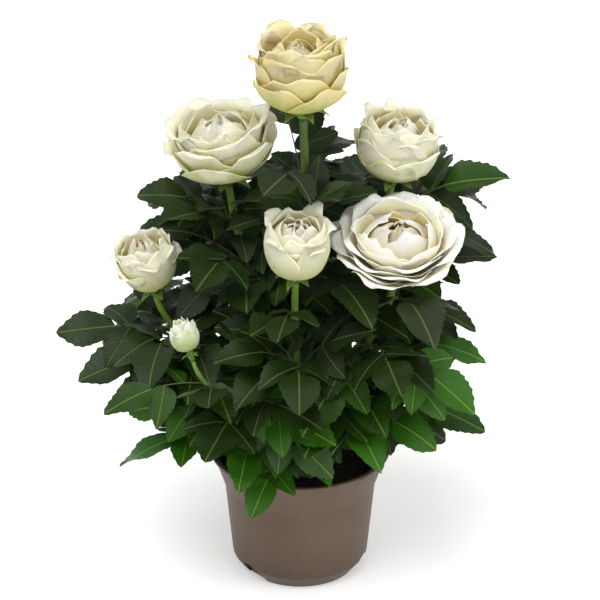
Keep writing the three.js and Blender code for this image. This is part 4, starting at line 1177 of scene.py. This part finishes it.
def grow_leaf(shoot, n, place=None, smaller=1, least=LEAST_LEAFLETS, allowed=lambda points: True):
    """The nth leaf of a shoot, at the first of its headings with room: leaf 0 ends the shoot, and the
    others stand down it on either hand, at their own number's place or at another."""
    line, length, heading, climb = course(shoot)
    plan, seed = SHOOTS[shoot], SHOOTS[shoot].seed
    foot = line(1 - (1 - SHOOT["bare"] / length) * ((n if place is None else place) / plan.leaves))
    size = plan.size * smaller * (1 if n == 0 else picked(seed, "size", n))
    for k in range(TRIES):
        hand = 1 if (n + k) % 2 else -1
        spread, lift, roll = (picked(seed, kind, 12 * n + k) for kind in ("heading", "lift", "roll"))
        if n == 0:
            spread, lift = END_STEP["heading"] * k, END_STEP["lift"] * hand * k
        leaf = leaf_at(foot, heading + hand * spread, climb + lift, size, roll)
        if try_leaf(leaf, RIM_LOWEST.get(shoot, LOWEST), least, allowed):
            return leaf
    return None


for cane in CANES:
    turn, foot = flower_frame(cane, AIR)
    length, thin = sepal_length(cane), CANES[cane].thin
    for i in range(SEPALS["count"]):
        out = climbing(SEPAL_HEADINGS[cane] + 360 / SEPALS["count"] * i, 0)
        ahead = turn @ unit(out + UP * SEPALS["climb"])
        root = turn @ (out * thin * 0.5 + UP * HIP_HEIGHT * 0.6) + foot + ahead * thin
        sepal = blade_at(root, ahead, axis_of(cane), length, length * SEPALS["wide"], 0)
        taken.append(room_of_blade(sepal))

taken.extend(room_of_line(course(shoot)[0](np.array([0.2, 0.6, 1]))) for shoot in SHOOTS)
sprays = []  # every leaf grown, with the tint of its shoot or of its height on a cane
most_leaves = max(plan.leaves for plan in SHOOTS.values())
for n in range(most_leaves):
    for shoot, plan in SHOOTS.items():
        leaf = grow_leaf(shoot, n) if n < plan.leaves else None
        if leaf:
            sprays.append((plan.tint, leaf))

# Smaller leaves fill in between them down the shoots, and stand straight off the canes on every side. They
# keep within the reach of the first ones, and don't hang over the rim where the compost shows.
FILL = {"from": 20, "smaller": 0.84, "least": 2}
CANE_LEAVES = (0.06, 0.1, 0.15, 0.2, 0.26, 0.32, 0.38, 0.45, 0.52, 0.6, 0.68, 0.76, 0.84)
CANE_LEAF = {"tries": 20, "step": 40, "lowest": 98}
TINT_HEIGHTS = {"bright": 118, "mid": 168}  # leaves straight off a cane are dark above the last of these
BARE_RIM = {"from": -12, "front": -58, "over": 4, "sight": math.tan(VIEW_ABOVE)}


def kept_in(points):
    """Whether points stay within the reach of the first leaves, and in front of the pot's right half keep
    above the line of sight over its rim."""
    low, high = (np.array(corner) * 1000 for corner in cad_box)
    if (points < low).any() or (points > high).any():
        return False
    before = np.maximum(0, BARE_RIM["front"] - points[:, 1])
    under_sight = points[:, 2] < RIM["height"] + BARE_RIM["over"] + before * BARE_RIM["sight"]
    return not (under_sight & (points[:, 0] > BARE_RIM["from"]) & (points[:, 1] < 0)).any()


for n in range(most_leaves):
    for shoot, plan in SHOOTS.items():
        if n < plan.leaves:
            leaf = grow_leaf(shoot, FILL["from"] + n, n + 0.5, FILL["smaller"], FILL["least"], kept_in)
            if leaf:
                sprays.append((plan.tint, leaf))
for number, cane in enumerate(CANES):
    for n, at in enumerate(CANE_LEAVES):
        foot = cane_line(cane, at)
        seed = 60 + number
        for k in range(CANE_LEAF["tries"]):
            heading = GOLDEN * (n + 3 * number) + CANE_LEAF["step"] * k * (1 if k % 2 else -1)
            kinds = ("cane_climb", "cane_size", "cane_roll")
            climb, size, roll = (picked(seed, kind, 30 * n + k) for kind in kinds)
            leaf = leaf_at(foot, heading, climb, size, roll)
            if try_leaf(leaf, CANE_LEAF["lowest"], LEAST_LEAFLETS, kept_in):
                tint = next((tint for tint, high in TINT_HEIGHTS.items() if foot[2] < high), "dark")
                sprays.append((tint, leaf))
                break

# ------------------------------------------------------------------ leaves
# The leaflets are leathery and saw-edged, folded along the midrib and bent down at the tip, with sunk
# veins that quilt the face, their pale colour lightened by painted highlight. Leaves high on the plant are
# nearly black green, some greyed by a painted sheen, and those near the pot's rim bright green.
LEAFLET_ROWS = 17
TINTS = {  # face, and vein: pale as real veins are, and lighter still as painted highlight
    "dark": (srgb(24, 43, 6), srgb(88, 112, 54)),
    # The greyer dark tint is partly painted sheen: its blue-grey stands in for the light that glances off the
    # upper leaves.
    "slate_sheen": (srgb(30, 43, 19), srgb(92, 108, 68)),
    "mid": (srgb(33, 63, 7), srgb(104, 136, 54)),
    "bright": (srgb(44, 94, 11), srgb(124, 164, 58)),
    "young": (srgb(112, 144, 38), srgb(164, 188, 92)),
}
UNDERSIDE = srgb(82, 100, 62)
MOTTLE = 1.18  # how much lighter a face is in its lightest patches
VEINS = {"pairs": 8.5, "slant": 0.34}
LEAF_MAP = {"from": 0.01, "wide": 0.48, "underside": 0.5}  # across the map: the upper face, and the other
LEAFLET = {"full": 0.8, "blunt": 0.68, "tooth": 0.032, "tooth_long": 0.012, "flutter": 0.035, "keel": 0.5}
LEAFLET_SHARP = math.radians(70)
# How a spray's tint is dealt out along a shoot or cane of each tint: shares up to 1, and the tint for each.
DEALT = {
    "dark": ((0.7, "dark"), (0.93, "slate_sheen"), (1, "mid")),
    "mid": ((0.25, "dark"), (0.85, "mid"), (1, "bright")),
    "bright": ((0.2, "mid"), (0.9, "bright"), (1, "young")),
}


def leaf_paint(name, face, vein_and_highlight):
    """Leaflet: a pattern on its own outline, along from root to tip, and across it twice over: the left half
    of the pattern is the upper face, and the right half the pale underside."""
    material, place = new_paint(name, "OFBake")
    across, along = place.parts("XY")
    under = across.rise(0.4999, 0.5001)
    aside = abs((across - under * 0.5 - LEAF_MAP["from"]) / LEAF_MAP["wide"] - 0.5) * 2
    fan = (along - aside * VEINS["slant"]) * VEINS["pairs"]
    wave = abs(fan.reckon("FRACT", fan) - 0.5) * 2
    side_vein = wave.rise(0.88, 1.0)
    midrib = (1 - aside).rise(0.93, 0.985)
    fine = place.stretched(2, 1.4, 1).speckle(34, 3, 0.6)
    mottle = place.stretched(2, 1, 1).speckle(5, 3)
    lighter = (*[c * MOTTLE for c in face[:3]], 1)
    colour = (mottle * 0.7 + fine * 0.3).rise(0.3, 0.75).blend(face, lighter)
    # Veins take a colour paler than the face, as real veins are, and lighter still: painted highlight where
    # gloss would catch on them.
    colour = (side_vein * 0.3).blend(colour, vein_and_highlight)
    colour = (midrib * 0.75).blend(colour, vein_and_highlight)
    colour = (under * (0.75 - side_vein * 0.2)).blend(colour, UNDERSIDE)
    gloss = 0.24 + fine * 0.2 + under * 0.3
    height = 1 - side_vein * 0.3 - midrib * 0.8 + fine * 0.5
    return shade(material, colour, gloss, height, 0.0007, specular_ior_level=0.26)


def leaflet_sheets(leaflets, seed):
    """The leaflets' upper faces, and their places on the leaf's own map. Along the midrib the face sinks as
    the square of the way; the half width is a power of a sine, drawn to a point; every other row of the
    edge stands out and forward as a tooth; and the halves are folded up and fluttered."""
    draw = np.random.default_rng(seed)
    count = len(leaflets)
    keys = ("root", "along", "side", "normal", "length", "width")
    root, along, side, normal, length, width = (
        np.array([leaf[key] for leaf in leaflets])[:, None, None] for key in keys
    )
    s = np.linspace(0, 1, LEAFLET_ROWS)[None, :, None]
    u = np.array([-1, 0, 1])[None, None]
    tooth = np.where(np.arange(LEAFLET_ROWS) % 2 == 1, 1.0, -1.0)[None, :, None]
    tooth = tooth * (s > 0.1) * (s < 0.97) * np.abs(u)
    half = np.sin(np.pi * s ** LEAFLET["full"]) ** LEAFLET["blunt"] * (1 - 0.12 * s**3)
    half = half * width / 2 * (1 + LEAFLET["tooth"] * tooth)
    forward = length * (s + LEAFLET["tooth_long"] * tooth)
    fold = draw.uniform(0.02, 0.48, (count, 1, 1))
    curl = draw.uniform(0.04, 0.4, (count, 1, 1))
    twist = draw.uniform(-0.6, 0.6, (count, 1, 1)) * s
    flutter = np.sin(s * draw.uniform(9, 15, (count, 1, 1)) + 2 * np.sign(u)) * np.abs(u)
    flutter = LEAFLET["flutter"] * width * flutter
    aside = u * half
    lift = fold * np.abs(u) * half + twist * aside - curl * length * s**2 + flutter
    upper = root + along * forward[..., None] + side * aside[..., None] + normal * lift[..., None]
    return upper, np.stack(np.broadcast_arrays(0.5 + 0.5 * aside / (width / 2), s), -1)


def lens_faces(count):
    """Faces of closed lenses: an upper sheet of two halves, whose points stand three to a row, and a lower
    one that shares its edges and has a midrib of its own, whose points come after them."""
    rows = LEAFLET_ROWS
    upper = grid_faces(rows, 3)
    edge = np.arange(rows) * 3
    keel = rows * 3 + np.arange(rows)
    left = np.stack([edge[:-1], edge[1:], keel[1:], keel[:-1]], -1)
    right = np.stack([keel[:-1], keel[1:], edge[1:] + 2, edge[:-1] + 2], -1)
    return repeated(np.concatenate([upper, left, right]), rows * 4, count)


def dealt(tint, luck):
    """The tint of one spray: the first share of its shoot's tint that its luck doesn't pass."""
    return next(name for share, name in DEALT[tint] if luck <= share)


leaflets_of = {tint: [] for tint in TINTS}
for number, (tint, leaf) in enumerate(sprays):
    leaflets_of[dealt(tint, chance(7, number))].extend(leaf["leaflets"])
for number, (tint, leaflets) in enumerate(leaflets_of.items()):
    upper, uv = leaflet_sheets(leaflets, 300 + number)
    count = len(leaflets)
    across, down = (np.gradient(upper, axis=axis)[:, :, 1] for axis in (2, 1))
    keel = upper[:, :, 1] - unit(np.cross(across, down) + 1e-9) * LEAFLET["keel"]
    points = np.concatenate([upper.reshape(count, -1, 3), keel], 1).reshape(-1, 3)
    places = np.concatenate([uv.reshape(count, -1, 2), uv[:, :, 1]], 1).reshape(-1, 2)
    faces = lens_faces(count)
    corners = places[faces] * [LEAF_MAP["wide"], 1] + [LEAF_MAP["from"], 0]
    corners.reshape(count, -1, 4, 2)[:, 2 * (LEAFLET_ROWS - 1) :, :, 0] += LEAF_MAP["underside"]
    paint = leaf_paint(f"leaf_{tint}", *TINTS[tint])
    piece = make_piece(f"leaflets_{tint}", points, faces, paint, uv={"OFBake": corners.reshape(-1, 2)})
    piece.data.set_sharp_from_angle(angle=LEAFLET_SHARP)
    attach(piece, "root")
    shoots_of_tint = [f"leaves_{shoot}" for shoot, plan in SHOOTS.items() if plan.tint == tint]
    if shoots_of_tint:
        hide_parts(*shoots_of_tint)

stalk_green, place = new_paint("stalk_green")
stalk_colour = place.speckle(80, 3).rise(0.35, 0.7).blend(srgb(62, 82, 36), srgb(92, 84, 46))
shade(stalk_green, stalk_colour, 0.5, place.speckle(900, 2), 0.0002)
stalks = []
for shoot in SHOOTS:
    t = np.linspace(0, 1, 12)
    stalks.append(tube(course(shoot)[0](t), SHOOT["radius"] * (1 - SHOOT["taper"] * t), 8))
for _, leaf in sprays:
    t = np.linspace(0, 1, 9)
    stalks.append(tube(leaf["stalk"](t), (0.95 - 0.45 * t) * leaf["size"], 5))
side_shoots = make_piece("side_shoots", *gathered(stalks), stalk_green)
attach(side_shoots, "root")
